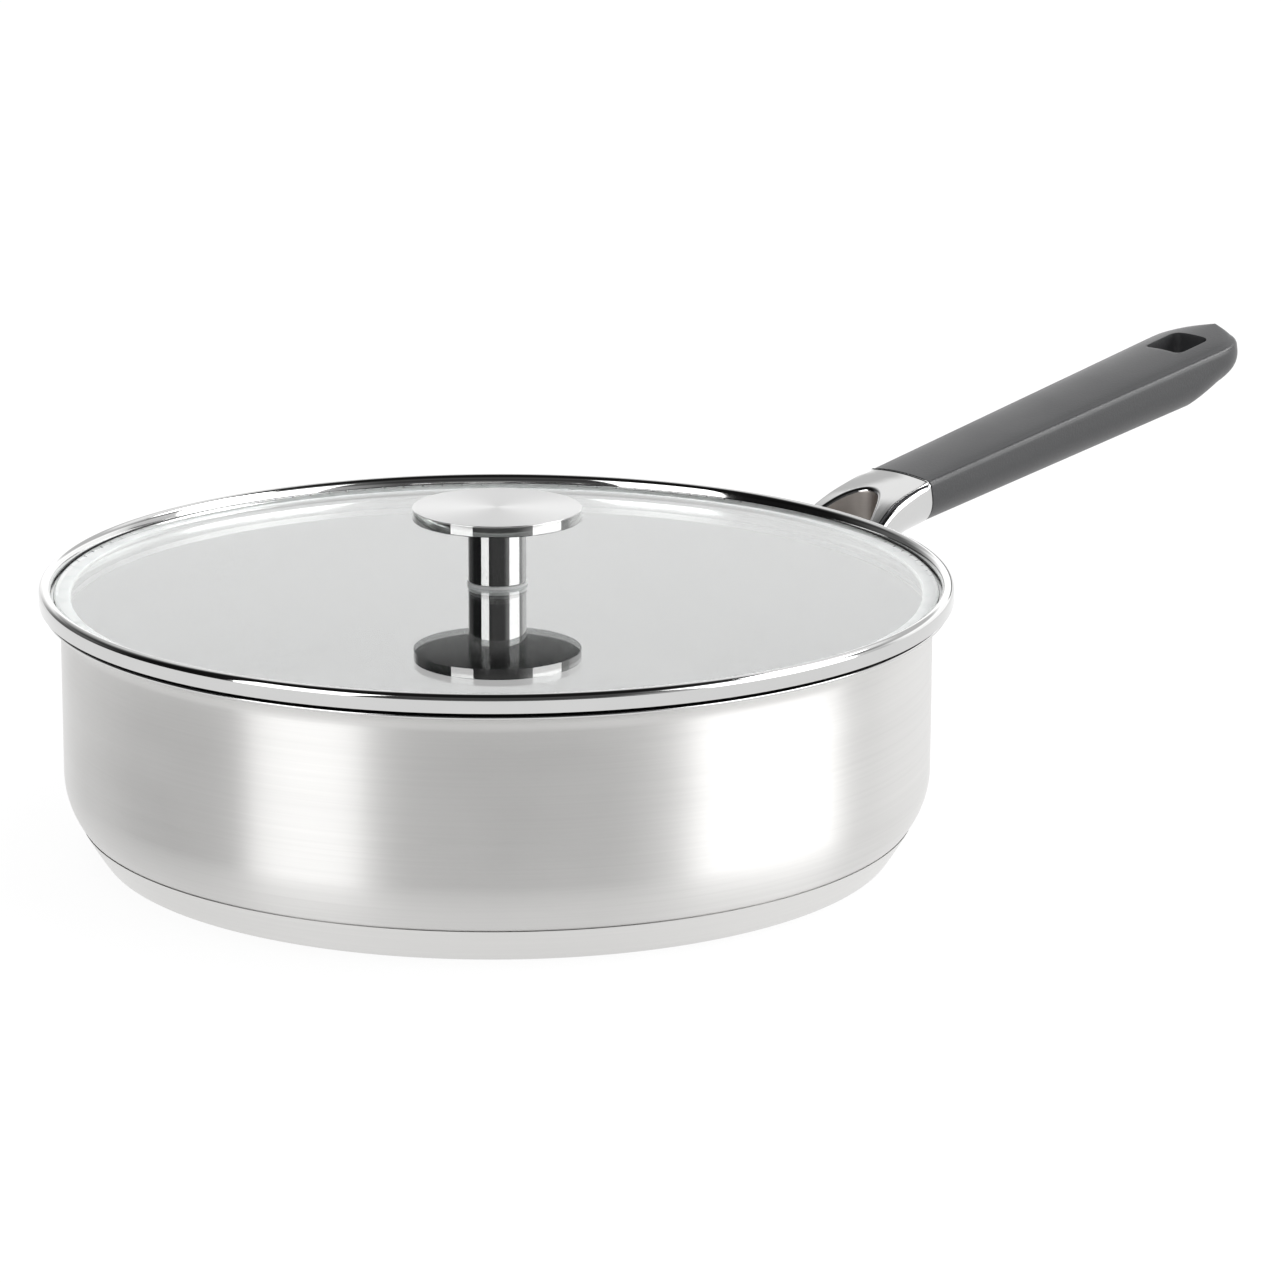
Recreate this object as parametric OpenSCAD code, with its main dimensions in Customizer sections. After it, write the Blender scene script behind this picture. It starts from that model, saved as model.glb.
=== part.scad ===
// Saute pan with a glass lid and a long handle.
// Origin: centre of the flat base. +Z up, handle along +X, millimetres.

/* [Pan] */
// Outer radius of the straight wall
wall_r = 120; // [80:1:170]
// Thickness of the drawn steel sheet
sheet_t = 1.0; // [0.8:0.1:1.5]
// Height of the lip's upper face
lip_top_z = 69.7; // [55:0.1:120]
// How far the pouring lip stands out from the wall
lip_reach = 4.6; // [3:0.1:6]
// Radius of the vessel's bottom corner
corner_r = 22.3; // [14:0.1:28]
// Height at which the bottom corner runs into the wall
corner_top_z = 23.2; // [20:0.1:30]
// Height of the groove between vessel and base
groove_z = 9.9; // [8.5:0.1:11]
// Thickness of the dark cooking layer
lining_t = 0.3; // [0.2:0.1:0.5]
// Width of the bare ring between the cooking layer and the lip's upper face
bare_ring_h = 7.2; // [5:0.1:14]

/* [Base] */
// Height of the vessel's flat bottom above the table
base_t = 6.0; // [4:0.1:7]
// How far the flat that stands on the table is drawn in from the groove
foot_inset = 6.6; // [4:0.1:9]
// Thickness of the steel cap over the heat-spreading disc
cap_t = 0.8; // [0.5:0.1:1.2]
// Height of the rounding at the cap's bottom edge
cap_edge_h = 1.2; // [0.8:0.1:2]
// Width of the rounding at the cap's bottom edge
cap_edge_w = 1.5; // [1:0.1:2.5]
// How far the cap's side bulges out
cap_bulge = 0.15; // [0:0.05:0.5]
// Width of the groove between the cap's edge and the vessel
groove_w = 0.4; // [0.3:0.1:0.8]

/* [Lid] */
// Width of the open joint between the lip and the band
lid_seat_gap = 0.35; // [0.3:0.05:0.6]
// Height of the band's outer face
band_h = 3.8; // [3:0.1:6]
// Height of the band's crest above its lower edge
band_crest_h = 5.6; // [5:0.1:8]
// Width of the band as seen from above
band_w = 3.6; // [3:0.1:5]
// How far the band stands out past the lip
band_overhang = 1.2; // [0.6:0.1:3]
// Thickness of the band's sheet
band_t = 0.55; // [0.4:0.05:0.7]
// Height of the bend between the band's inner wall and its crest
band_bend_h = 2.9; // [2.6:0.1:3.5]
// Height of the crest's inner nose
band_nose_h = 1.1; // [0.8:0.1:1.5]
// Width of the crest's inner nose
band_nose_w = 0.5; // [0.3:0.1:0.8]
// Width of the hem turned in under the band's outer face
band_hem_w = 1.1; // [0.8:0.1:1.4]
// Height of the knee between the band's inner wall and its leg
band_knee_h = 0.4; // [0.2:0.1:0.6]
// Width of the band's leg under the glass
band_leg_w = 3.4; // [2:0.1:5]
// Thickness of the glass at its centre
glass_t = 4.0; // [3:0.1:5]
// Rise of the glass from its edge to its centre
glass_dome = 1.3; // [0.2:0.1:2]
// Height of the glass's upper face at the edge above the band's lower edge
glass_edge_rise = 2.05; // [1.5:0.05:3]
// Bevel of the glass's lower edge
glass_bevel = 1.2; // [0.8:0.1:1.5]
// Thickness of the gasket beside and under the glass
gasket_t = 0.4; // [0.3:0.05:0.6]

/* [Knob] */
// Radius of the knob's disc
knob_r = 23.3; // [15:0.1:32]
// Thickness of the knob's disc
knob_t = 2.5; // [2:0.1:5]
// Bevel of the disc's edges
knob_bevel = 0.3; // [0.1:0.1:0.6]
// Radius of the knob's post
post_r = 7.7; // [6.5:0.1:11]
// Length of the knob's post
post_h = 18.3; // [14:0.1:35]
// Radius of the tenon that holds post and disc together
post_tenon_r = 3.0; // [2:0.1:4]
// Thickness of the clear washers on both sides of the glass
soft_washer_t = 0.7; // [0.5:0.1:1.5]
// How far the clear washers stand out past the post
soft_washer_lip = 0.6; // [0.2:0.1:1.5]
// Thickness of the steel washer
plate_washer_t = 1.0; // [0.8:0.1:1.5]
// How far the steel washer is drawn in from the clear one
plate_washer_inset = 0.5; // [0.2:0.1:1]
// Radius of the knob's screw
knob_screw_r = 2.5; // [2:0.1:3]
// Radius of the screw's head
knob_head_r = 4.6; // [4:0.1:5.5]
// Height of the screw's head
knob_head_h = 2.4; // [2:0.1:3]
// Width of the cross slot in the screw's head
knob_slot_w = 1.1; // [0.8:0.1:1.4]
// Length of the cross slot
knob_slot_l = 5.5; // [4:0.5:7]
// How deep the screw goes into the post
knob_thread_l = 9; // [6:0.5:11]
// Radius of the hole in the glass
glass_hole_r = 4.2; // [3.8:0.1:5]

/* [Grip] */
// Distance from the pan's axis to the grip's front
grip_start_x = 156.1; // [153:0.1:175]
// Height of the grip's upper edges at its front
grip_start_z = 80.4; // [77:0.1:85]
// Rise of the handle
grip_rise = 10.6; // [6:0.1:14]
// Length of the grip
grip_l = 138; // [110:1:190]
// Width of the grip at its front
grip_w_front = 24.7; // [22:0.1:30]
// Width of the grip before its rounded tip
grip_w_back = 30.5; // [25:0.1:36]
// Thickness of the grip at its front, below the upper edges
grip_t_front = 14.4; // [13:0.1:18]
// Thickness of the grip where its underside starts to rise
grip_t_back = 15.7; // [14:0.1:20]
// Thickness of the grip at the tip
grip_t_tip = 9.4; // [7:0.1:12]
// Height of the crown on the grip's upper face at its front
crown_front = 0.9; // [0.4:0.1:2]
// Height of the crown on the grip's upper face at its tip
crown_back = 2.0; // [0.4:0.1:3]
// Length of the grip's rising underside
tip_taper_l = 26; // [20:0.5:45]
// Length over which the tip rounds off, seen from above
tip_round_l = 14.1; // [10:0.1:16]
// Fullness of the tip's outline: 2 is an ellipse, more is squarer
tip_fullness = 2.5; // [2:0.1:4]
// Radius of the rounding under the tip
tip_edge_r = 3.0; // [1:0.1:4]
// Radius of the rounding along the grip's lower edges
belly_r = 9.7; // [5:0.1:10.5]
// Radius of the rounding along the grip's upper edges
rim_edge_r = 0.9; // [0.4:0.1:1.5]
// Length of the hanging hole
hang_l = 14.2; // [10:0.1:18]
// Width of the hanging hole
hang_w = 14.6; // [11.5:0.1:16]
// Distance from the grip's end to the hanging hole
hang_end = 10.6; // [9:0.1:16]
// Radius of the hanging hole's corners
hang_corner_r = 2.6; // [1:0.1:4]

/* [Bracket] */
// Joint between the bracket and the grip
grip_gap = 0.3; // [0.2:0.05:0.5]
// Half the width of the bracket's recess at the wall
recess_half_w = 10.5; // [8:0.1:11]
// Distance from the grip's front back to the recess's round end
recess_back = 12.1; // [11:0.1:15]
// Radius of the recess's round end, from where it opens like a parabola
recess_end_r = 4.5; // [3:0.1:7]
// Rounding where the recess's wall meets the deck
recess_edge = 1.3; // [0.6:0.1:1.6]
// Height of the bracket's foot on the wall
foot_h = 13.5; // [8:0.5:18]
// Width of the foot plate
foot_w = 33; // [26:1:38]
// Thickness of the foot plate welded to the wall
foot_t = 1.8; // [1:0.1:2.5]
// Joint between foot and wall
weld_gap = 0.05; // [0.02:0.01:0.1]
// Clearance of the bracket below the lip and the lid
lip_clearance = 0.5; // [0.4:0.1:1]
// Depth of the crease between deck and cheek
crease_depth = 0.8; // [0.3:0.1:1.2]
// Width of the crease
crease_w = 0.05; // [0.02:0.01:0.2]
// Share of the bracket's length over which the crease fades out at the grip
crease_fade = 0.12; // [0.05:0.01:0.3]
// Height over which the cheek swells out below the crease
cheek_drop = 1.8; // [1:0.1:2.4]
// Width of the tenon that stops the grip from turning
tenon_w = 14; // [8:0.5:15]
// Thickness of the tenon
tenon_t = 6.4; // [6:0.1:7]
// Length of the tenon
tenon_l = 10; // [6:0.5:14]
// Clearance round the tenon in the grip
tenon_gap = 0.15; // [0.1:0.05:0.3]

/* [Handle screw] */
// Radius of the screw through the grip
rod_r = 2.5; // [2:0.1:2.6]
// Clearance round the screw in the grip
rod_gap = 0.25; // [0.1:0.05:0.5]
// Clearance at the thread of both screws
thread_gap = 0.05; // [0.02:0.01:0.1]
// Depth of the thread in the bracket, from the tenon's end
rod_thread_l = 14; // [8:0.5:16]
// Radius of the screw's head
rod_head_r = 3.9; // [3.6:0.1:4.2]
// Height of the screw's head
rod_head_h = 2.6; // [2:0.1:3]
// Radius of the washer under the head
rod_washer_r = 4.5; // [4.3:0.1:4.9]
// Thickness of the washer under the head
rod_washer_t = 1.0; // [0.8:0.1:1.5]
// Depth of the screw's axis below the grip's upper edges
rod_depth = 6.8; // [6:0.1:7.4]

/* [Hidden] */

$fn = 144;
// Steps along a curved outline
arc_steps = 10;
// Overlap that makes cuts run past a face
past = 1;
// Play left between pieces that are pushed together
fit_gap = 0.1;

// Pan outline: the corner's arc meets a tighter arc that runs into the flat bottom
corner_x = wall_r - corner_r;
join_angle = asin((corner_top_z - groove_z) / corner_r);
join_x = corner_x + corner_r * cos(join_angle);
inner_arc_r = (groove_z - base_t) / (1 - sin(join_angle));
inner_arc_x = join_x - inner_arc_r * cos(join_angle);
inner_arc_z = base_t + inner_arc_r;
base_foot_r = join_x - foot_inset;
lip_x = wall_r + lip_reach;
lip_z = lip_top_z - sheet_t - lip_reach;
bare_ring_z = lip_top_z - bare_ring_h;

// Lid levels
band_low_z = lip_top_z + lid_seat_gap;
band_r = lip_x + band_overhang;
band_in_r = band_r - band_w;
band_crest_z = band_low_z + band_crest_h;
glass_edge_z = band_low_z + glass_edge_rise;
glass_top_z = glass_edge_z + glass_dome;
glass_low_z = glass_top_z - glass_t;
glass_r = band_in_r - gasket_t;
leg_top_z = glass_low_z - gasket_t;
leg_out_r = glass_r - glass_bevel - fit_gap;
leg_in_r = leg_out_r - band_leg_w;

// Knob levels
post_z = glass_top_z + soft_washer_t;
disc_z = post_z + post_h;
soft_washer_r = post_r + soft_washer_lip;
plate_washer_z = glass_low_z - soft_washer_t - plate_washer_t;
post_tenon_h = knob_t / 2;
sleeve_r = glass_hole_r - 1.5 * fit_gap;
shank_hole_r = knob_screw_r + 2 * fit_gap;
plate_washer_r = soft_washer_r - plate_washer_inset;

// Grip
tip_taper_x = grip_l - tip_taper_l;
tip_round_x = grip_l - tip_round_l;
// How far the tip's outline runs before it is cut square
tip_cut = 0.985;
hang_x = grip_l - hang_end - hang_l;
rod_seat_x = hang_x - rod_washer_t - rod_head_h;
rod_tip_x = tenon_l - rod_thread_l;

function arc(x, z, r, a0, a1) =
    [for (i = [0:arc_steps]) let (a = a0 + (a1 - a0) * i / arc_steps) [x + r * cos(a), z + r * sin(a)]];
function mix(a, b, t) = a + (b - a) * t;
function smooth(t) = let (c = max(0, min(1, t))) c * c * (3 - 2 * c);

// The vessel's outer face, from the axis to the wall, drawn inward by d
function bowl_outline(d) = concat(
    [[0, base_t + d]],
    arc(inner_arc_x, inner_arc_z, inner_arc_r - d, -90, -join_angle),
    arc(corner_x, corner_top_z, corner_r - d, -join_angle, 0));

// A solid skinned over rings of equally many points
module skin(rings) {
    n = len(rings[0]);
    last = len(rings) - 1;
    points = [for (ring = rings) for (p = ring) p];
    sides = [for (i = [0:last - 1]) for (j = [0:n - 1])
        let (a = i * n + j, b = i * n + (j + 1) % n)
        each [[a, b, b + n], [a, b + n, a + n]]];
    front = [[for (j = [n - 1:-1:0]) j]];
    back = [[for (j = [0:n - 1]) last * n + j]];
    polyhedron(points, concat(front, sides, back), convexity = 6);
}

// Moves a piece drawn along the grip's upper edges to the grip's place
module on_handle() {
    translate([grip_start_x, 0, grip_start_z]) rotate([0, -grip_rise, 0]) children();
}

// A round bar along the grip
module along_handle(x0, x1, r) {
    translate([x0, 0, -rod_depth]) rotate([0, 90, 0]) cylinder(h = x1 - x0, r = r);
}

module ring(z0, z1, r_in, r_out) {
    translate([0, 0, z0]) difference() {
        cylinder(h = z1 - z0, r = r_out);
        translate([0, 0, -past]) cylinder(h = z1 - z0 + 2 * past, r = r_in);
    }
}

// Everything inside the vessel's outer face, up to the wall
module bowl_solid(d, top_z) {
    rotate_extrude() polygon(concat(bowl_outline(d), [[wall_r - d, top_z], [0, top_z]]));
}

module pan_vessel() {
    outside = concat(bowl_outline(0), arc(lip_x, lip_z, lip_reach, 180, 90));
    inside = concat(bowl_outline(sheet_t), arc(lip_x, lip_z, lip_reach + sheet_t, 180, 90));
    flip = [for (i = [len(inside) - 1:-1:0]) inside[i]];
    color("silver") rotate_extrude() polygon(concat(outside, flip));
}

module nonstick_lining() {
    color("dimgray") difference() {
        bowl_solid(sheet_t, bare_ring_z);
        bowl_solid(sheet_t + lining_t, bare_ring_z + past);
    }
}

// The cap's side, from the foot up to the groove, drawn inward by d
function cap_outline(d) = let (top = groove_z - groove_w, low_r = base_foot_r + cap_edge_w) [
    [0, d],
    [base_foot_r - d / 2, d],
    [low_r - d, cap_edge_h + d / 2],
    [mix(low_r, join_x, 0.5) + cap_bulge - d, mix(cap_edge_h, top, 0.5)],
    [join_x - d, top],
    [0, top]];

module base_core() {
    color("lightgray") difference() {
        rotate_extrude() polygon(cap_outline(cap_t));
        bowl_solid(0, groove_z + past);
    }
}

module base_cap() {
    color("silver") difference() {
        rotate_extrude() polygon(cap_outline(0));
        rotate_extrude() polygon(cap_outline(cap_t));
        bowl_solid(0, groove_z + past);
    }
}

// Stations of the bracket from the wall to the grip, as shares of the way:
// share, deck height above the grip line, deck half width, cheek half width, underside below the grip line
deck_rise = tan(grip_rise);
function grip_line(x) = grip_start_z + (x - grip_start_x) * deck_rise;
half_front = grip_w_front / 2;
bracket_reach = grip_start_x - wall_r;
stations = [
    [-0.05, -13.5, half_front + 6.2, half_front + 7.2, -25.0],
    [0.10, -10.0, half_front + 4.8, half_front + 5.9, -23.0],
    [0.25, -6.8, half_front + 3.1, half_front + 4.3, -20.5],
    [0.40, -3.9, half_front + 1.6, half_front + 3.0, -18.2],
    [0.55, -1.8, half_front + 0.5, half_front + 1.9, -16.4],
    [0.70, -0.8, half_front, half_front + 1.1, -15.2],
    [0.84, -0.3, half_front - 0.1, half_front + 0.6, -14.6],
    [0.95, -0.1, half_front - 0.2, half_front + 0.2, -14.4],
    [1.00, 0.0, half_front - 0.3, half_front, -grip_t_front],
    [1.10, 0.0, half_front - 0.3, half_front, -grip_t_front]];

function catmull(a, b, c, d, t) =
    0.5 * (2 * b + (c - a) * t + (2 * a - 5 * b + 4 * c - d) * t * t + (3 * b - a - 3 * c + d) * t * t * t);
function station(i, t) = let (n = len(stations) - 1)
    catmull(stations[max(i - 1, 0)], stations[i], stations[min(i + 1, n)], stations[min(i + 2, n)], t);

// One half of a bracket section, from the deck's middle round to the underside's middle
function bracket_half(w_deck, w_cheek, z_deck, z_low, crease, crown) =
    let (z_edge = z_deck - crease, z_wide = z_edge - cheek_drop, r = min(belly_r, 0.9 * (z_wide - z_low)))
    concat(
        [for (i = [1:4]) let (y = w_deck * i / 4) [y, z_deck + crown * (1 - pow(i / 4, 2))]],
        [[w_deck + crease_w, z_edge]],
        [for (i = [1:4]) let (a = 90 * i / 4) [mix(w_deck, w_cheek, sin(a)), mix(z_wide, z_edge, cos(a))]],
        [for (i = [0:6]) let (a = -90 * i / 6) [w_cheek - r + r * cos(a), z_low + r + r * sin(a)]]);

// One ring of the bracket. The crease fades out where the bracket meets the grip
function bracket_ring(s) = let (
        x = wall_r + bracket_reach * s[0],
        crease = crease_depth * smooth((1 - s[0]) / crease_fade) + crease_w,
        crown = crown_front,
        half = bracket_half(s[2], s[3], grip_line(x) + s[1], grip_line(x) + s[4], crease, crown),
        n = len(half) - 1)
    concat(
        [[x, 0, grip_line(x) + s[1] + crown]],
        [for (p = half) [x, p[0], p[1]]],
        [for (i = [n:-1:0]) [x, -half[i][0], half[i][1]]]);

// What the lip and the lid take up, with clearance
module lip_room() {
    g = lip_clearance;
    top = band_crest_z + 4 * past;
    rotate_extrude() polygon(concat(
        [[0, lip_z]],
        arc(lip_x, lip_z, lip_reach - g, 180, 90),
        [[band_r + g, lip_top_z - sheet_t - g], [band_r + g, top], [0, top]]));
}

// Height of the deck over a place seen from above
function deck_z(x, y) = let (
        share = (x - wall_r) / bracket_reach,
        rise = lookup(share, [for (s = stations) [s[0], s[1]]]),
        u = y / lookup(share, [for (s = stations) [s[0], s[2]]]))
    grip_line(x) + rise + crown_front * (1 - u * u);

// The recess seen from above, widened by d: a parabola that opens towards the pan, then straight sides
recess_steps = 10;
function recess_outline(d) = let (
        end_x = grip_start_x - recess_back,
        side = recess_half_w + d,
        side_x = end_x - recess_half_w * recess_half_w / (2 * recess_end_r),
        end = [for (i = [recess_steps - 1:-1:1 - recess_steps])
            let (
                y = recess_half_w * i / recess_steps,
                slope = y / recess_end_r,
                out = d / sqrt(1 + slope * slope))
            [end_x - y * slope / 2 + out, y + out * slope]])
    concat([[0, side / 2], [wall_r, side], [side_x, side]],
        end,
        [[side_x, -side], [wall_r, -side], [0, -side / 2]]);

// The recess with its rounded upper edge, which follows the deck
module recess() {
    e = recess_edge;
    low = [for (p = recess_outline(0)) [p[0], p[1], lip_z - 2 * foot_h]];
    edge = [for (a = [0:22.5:90])
        [for (p = recess_outline(e - e * cos(a))) [p[0], p[1], deck_z(p[0], p[1]) - e + e * sin(a)]]];
    high = [for (p = recess_outline(e)) [p[0], p[1], grip_start_z + foot_h]];
    skin(concat([low], edge, [high]));
}

module bracket_foot() {
    top = lip_z - lip_clearance;
    intersection() {
        ring(top - foot_h, top, wall_r + weld_gap, wall_r + weld_gap + foot_t);
        translate([0, -foot_w / 2, 0]) cube([2 * wall_r, foot_w, 2 * wall_r]);
    }
}

module handle_bracket() {
    last = len(stations) - 2;
    rings = [for (i = [0:last]) for (t = [0:2]) if (i < last || t == 0) bracket_ring(station(i, t / 3))];
    color("gainsboro") difference() {
        union() {
            difference() {
                skin(concat(rings, [bracket_ring(stations[last + 1])]));
                recess();
                cylinder(h = 2 * wall_r, r = wall_r + weld_gap);
                lip_room();
                on_handle() translate([-grip_gap, -grip_w_back, -3 * grip_t_back])
                    cube([3 * tenon_l, 2 * grip_w_back, 6 * grip_t_back]);
            }
            bracket_foot();
            on_handle() translate([-grip_gap - past, -tenon_w / 2, -rod_depth - tenon_t / 2])
                cube([tenon_l + grip_gap + past, tenon_w, tenon_t]);
        }
        on_handle() along_handle(rod_tip_x - past, tenon_l + past, rod_r + thread_gap);
    }
}

// Half the grip's width, and its thickness, at a distance from its front
function grip_half_w(x) = let (
        full = mix(grip_w_front, grip_w_back, min(1, x / tip_round_x)) / 2,
        over = tip_cut * max(0, x - tip_round_x) / tip_round_l)
    full * pow(1 - pow(over, tip_fullness), 1 / tip_fullness);
function grip_t(x) = let (
        s = (x - tip_taper_x) / tip_taper_l,
        over = max(0, x - (grip_l - tip_edge_r)),
        edge = tip_edge_r - sqrt(tip_edge_r * tip_edge_r - over * over))
    x < tip_taper_x
    ? mix(grip_t_front, grip_t_back, x / tip_taper_x)
    : mix(grip_t_back, grip_t_tip, (s + smooth(s)) / 2) - edge;

// One ring of the grip: crowned top, small upper edges, straight sides, round lower edges
function grip_ring(x) = let (
        w = grip_half_w(x),
        t = grip_t(x),
        e = rim_edge_r,
        crown = mix(crown_front, crown_back, x / grip_l),
        r = min(belly_r, t - 2 * e, w - e / 2),
        top = [for (i = [0:4]) let (u = i / 4) [u * (w - e), crown * (1 - u * u)]],
        edge = [for (i = [1:3]) let (a = 90 - 30 * i) [w - e + e * cos(a), e * sin(a) - e]],
        belly = [for (i = [0:6]) let (a = -90 * i / 6) [w - r + r * cos(a), -t + r + r * sin(a)]],
        half = concat(top, edge, belly),
        n = len(half) - 1)
    concat([for (p = half) [x, p[0], p[1]]], [for (i = [n:-1:1]) [x, -half[i][0], half[i][1]]]);

module hanging_hole() {
    r = hang_corner_r;
    translate([hang_x, 0, -2 * grip_t_back]) linear_extrude(height = 4 * grip_t_back) union() {
        translate([r, -hang_w / 2]) square([hang_l - 2 * r, hang_w]);
        translate([0, r - hang_w / 2]) square([hang_l, hang_w - 2 * r]);
        for (x = [r, hang_l - r], y = [-1, 1]) translate([x, y * (hang_w / 2 - r)]) circle(r = r);
    }
}

module handle_grip() {
    steps = 7;
    straight = [0, tip_taper_x / 2, tip_taper_x];
    rise = [for (i = [1:2]) mix(tip_taper_x, tip_round_x, i / 3)];
    tip = [for (i = [0:steps]) grip_l - tip_round_l * (1 - sin(90 * i / steps))];
    rings = [for (x = concat(straight, rise, tip)) grip_ring(x)];
    color("#2b2b2d") on_handle() difference() {
        skin(rings);
        hanging_hole();
        along_handle(-past, hang_x, rod_r + rod_gap);
        along_handle(rod_seat_x, hang_x + past, rod_washer_r + rod_gap);
        translate([-past, -tenon_w / 2 - tenon_gap, -rod_depth - tenon_t / 2 - tenon_gap])
            cube([tenon_l + past + tenon_gap, tenon_w + 2 * tenon_gap, tenon_t + 2 * tenon_gap]);
    }
}

module handle_screw() {
    head_x = rod_seat_x + rod_washer_t;
    color("silver") on_handle() difference() {
        union() {
            along_handle(rod_tip_x, head_x + past / 2, rod_r);
            along_handle(head_x, head_x + rod_head_h, rod_head_r);
        }
        translate([head_x + rod_head_h / 2, -rod_head_r, -rod_depth - rod_r / 5])
            cube([rod_head_h, 2 * rod_head_r, 2 * rod_r / 5]);
    }
}

module handle_washer() {
    color("silver") on_handle() difference() {
        along_handle(rod_seat_x, rod_seat_x + rod_washer_t, rod_washer_r);
        along_handle(rod_seat_x - past, rod_seat_x + rod_washer_t + past, rod_r + rod_gap);
    }
}

module lid_glass() {
    flat_r = soft_washer_r + 1;
    steps = 12;
    dome = [for (i = [0:steps]) let (u = i / steps, x = mix(flat_r, glass_r, u))
        [x, glass_top_z - glass_dome * u * u]];
    color("lightcyan", 0.4) difference() {
        rotate_extrude() polygon(concat(
            [[0, glass_low_z], [0, glass_top_z]], dome,
            [[glass_r, glass_low_z + glass_bevel], [glass_r - glass_bevel, glass_low_z]]));
        translate([0, 0, glass_low_z - past]) cylinder(h = glass_t + 2 * past, r = glass_hole_r);
    }
}

// The band: a leg under the glass, a wall beside it, a rolled crest and an outer face with a turned-in hem
module lid_rim() {
    t = band_t;
    leg_low_z = leg_top_z - t;
    shoulder = band_crest_h - band_h;
    crest_x = band_r - shoulder;
    crest_z = band_crest_z - shoulder;
    bend_z = band_crest_z - band_bend_h;
    nose_x = band_in_r + band_nose_w;
    nose_z = band_crest_z - band_nose_h;
    color("gainsboro") rotate_extrude() polygon(concat(
        [[leg_in_r, leg_low_z], [leg_out_r, leg_low_z], [band_in_r + t, band_low_z + band_knee_h / 2]],
        [[band_in_r + t, bend_z], [nose_x + t, nose_z - t / 2]],
        arc(crest_x, crest_z, shoulder - t, 90, 0),
        [[band_r - t, band_low_z + t], [band_r - band_hem_w, band_low_z + t]],
        [[band_r - band_hem_w, band_low_z], [band_r, band_low_z]],
        arc(crest_x, crest_z, shoulder, 0, 90),
        [[nose_x, nose_z], [band_in_r, bend_z]],
        [[band_in_r, band_low_z + band_knee_h], [leg_out_r - fit_gap, leg_top_z], [leg_in_r, leg_top_z]]));
}

module rim_gasket() {
    top = glass_edge_z - fit_gap;
    color("white", 0.5) rotate_extrude() polygon([
        [leg_in_r + gasket_t, leg_top_z], [leg_out_r - fit_gap, leg_top_z],
        [band_in_r, band_low_z + band_knee_h],
        [band_in_r, top], [glass_r, top], [glass_r, glass_low_z + glass_bevel],
        [glass_r - glass_bevel, glass_low_z], [leg_in_r + gasket_t, glass_low_z]]);
}

module knob_disc() {
    e = knob_bevel;
    color("silver") difference() {
        rotate_extrude() polygon([
            [0, disc_z], [knob_r - e, disc_z], [knob_r, disc_z + e],
            [knob_r, disc_z + knob_t - e], [knob_r - e, disc_z + knob_t], [0, disc_z + knob_t]]);
        translate([0, 0, disc_z - past]) cylinder(h = post_tenon_h + past, r = post_tenon_r + thread_gap);
    }
}

module knob_post() {
    color("gainsboro") difference() {
        union() {
            translate([0, 0, post_z]) cylinder(h = post_h, r = post_r);
            translate([0, 0, post_z]) cylinder(h = post_h + post_tenon_h - fit_gap, r = post_tenon_r);
        }
        translate([0, 0, post_z - past])
            cylinder(h = knob_thread_l + 2 * past, r = knob_screw_r + thread_gap);
    }
}

module knob_washer_top() {
    color("white", 0.6) union() {
        ring(glass_top_z, post_z, shank_hole_r, soft_washer_r);
        ring(glass_top_z - glass_t / 2 + fit_gap, glass_top_z + soft_washer_t / 2, shank_hole_r, sleeve_r);
    }
}

module knob_washer_bottom() {
    color("white", 0.6) union() {
        ring(glass_low_z - soft_washer_t, glass_low_z, shank_hole_r, soft_washer_r);
        ring(glass_low_z - soft_washer_t / 2, glass_low_z + glass_t / 2 - fit_gap, shank_hole_r, sleeve_r);
    }
}

module knob_plate_washer() {
    color("silver")
        ring(plate_washer_z, plate_washer_z + plate_washer_t, shank_hole_r, plate_washer_r);
}

module knob_screw() {
    head_z = plate_washer_z - knob_head_h;
    color("silver") difference() {
        union() {
            translate([0, 0, head_z]) cylinder(h = knob_head_h, r = knob_head_r);
            translate([0, 0, plate_washer_z - past])
                cylinder(h = post_z + knob_thread_l - plate_washer_z + past, r = knob_screw_r);
        }
        for (a = [0, 90]) rotate([0, 0, a]) translate([-knob_slot_l / 2, -knob_slot_w / 2, head_z - past])
            cube([knob_slot_l, knob_slot_w, knob_head_h / 2 + past]);
    }
}

pan_vessel();
nonstick_lining();
base_core();
base_cap();
handle_bracket();
handle_grip();
handle_screw();
handle_washer();
lid_glass();
lid_rim();
rim_gasket();
knob_disc();
knob_post();
knob_washer_top();
knob_washer_bottom();
knob_plate_washer();
knob_screw();
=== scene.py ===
import math

import bmesh
import bpy
from bpy.props import FloatProperty, FloatVectorProperty, IntProperty, PointerProperty
from mathutils import Matrix, Vector


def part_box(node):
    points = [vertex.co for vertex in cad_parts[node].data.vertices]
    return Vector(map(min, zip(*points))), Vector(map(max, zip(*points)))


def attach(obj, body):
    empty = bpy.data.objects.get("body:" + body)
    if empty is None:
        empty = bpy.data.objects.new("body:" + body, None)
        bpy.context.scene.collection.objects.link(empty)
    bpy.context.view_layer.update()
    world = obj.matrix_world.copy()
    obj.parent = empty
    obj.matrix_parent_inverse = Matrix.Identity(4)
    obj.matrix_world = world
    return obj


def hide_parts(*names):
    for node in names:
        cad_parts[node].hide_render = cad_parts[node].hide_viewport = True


bl_info = {
    "name": "Saute pan with lid",
    "version": (1, 0, 0),
    "blender": (4, 5, 0),
    "location": "View3D > Sidebar > Saute pan",
    "description": "Finishes the construction of a saute pan: steel, glass, grip, light and camera",
    "category": "Object",
}

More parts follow.
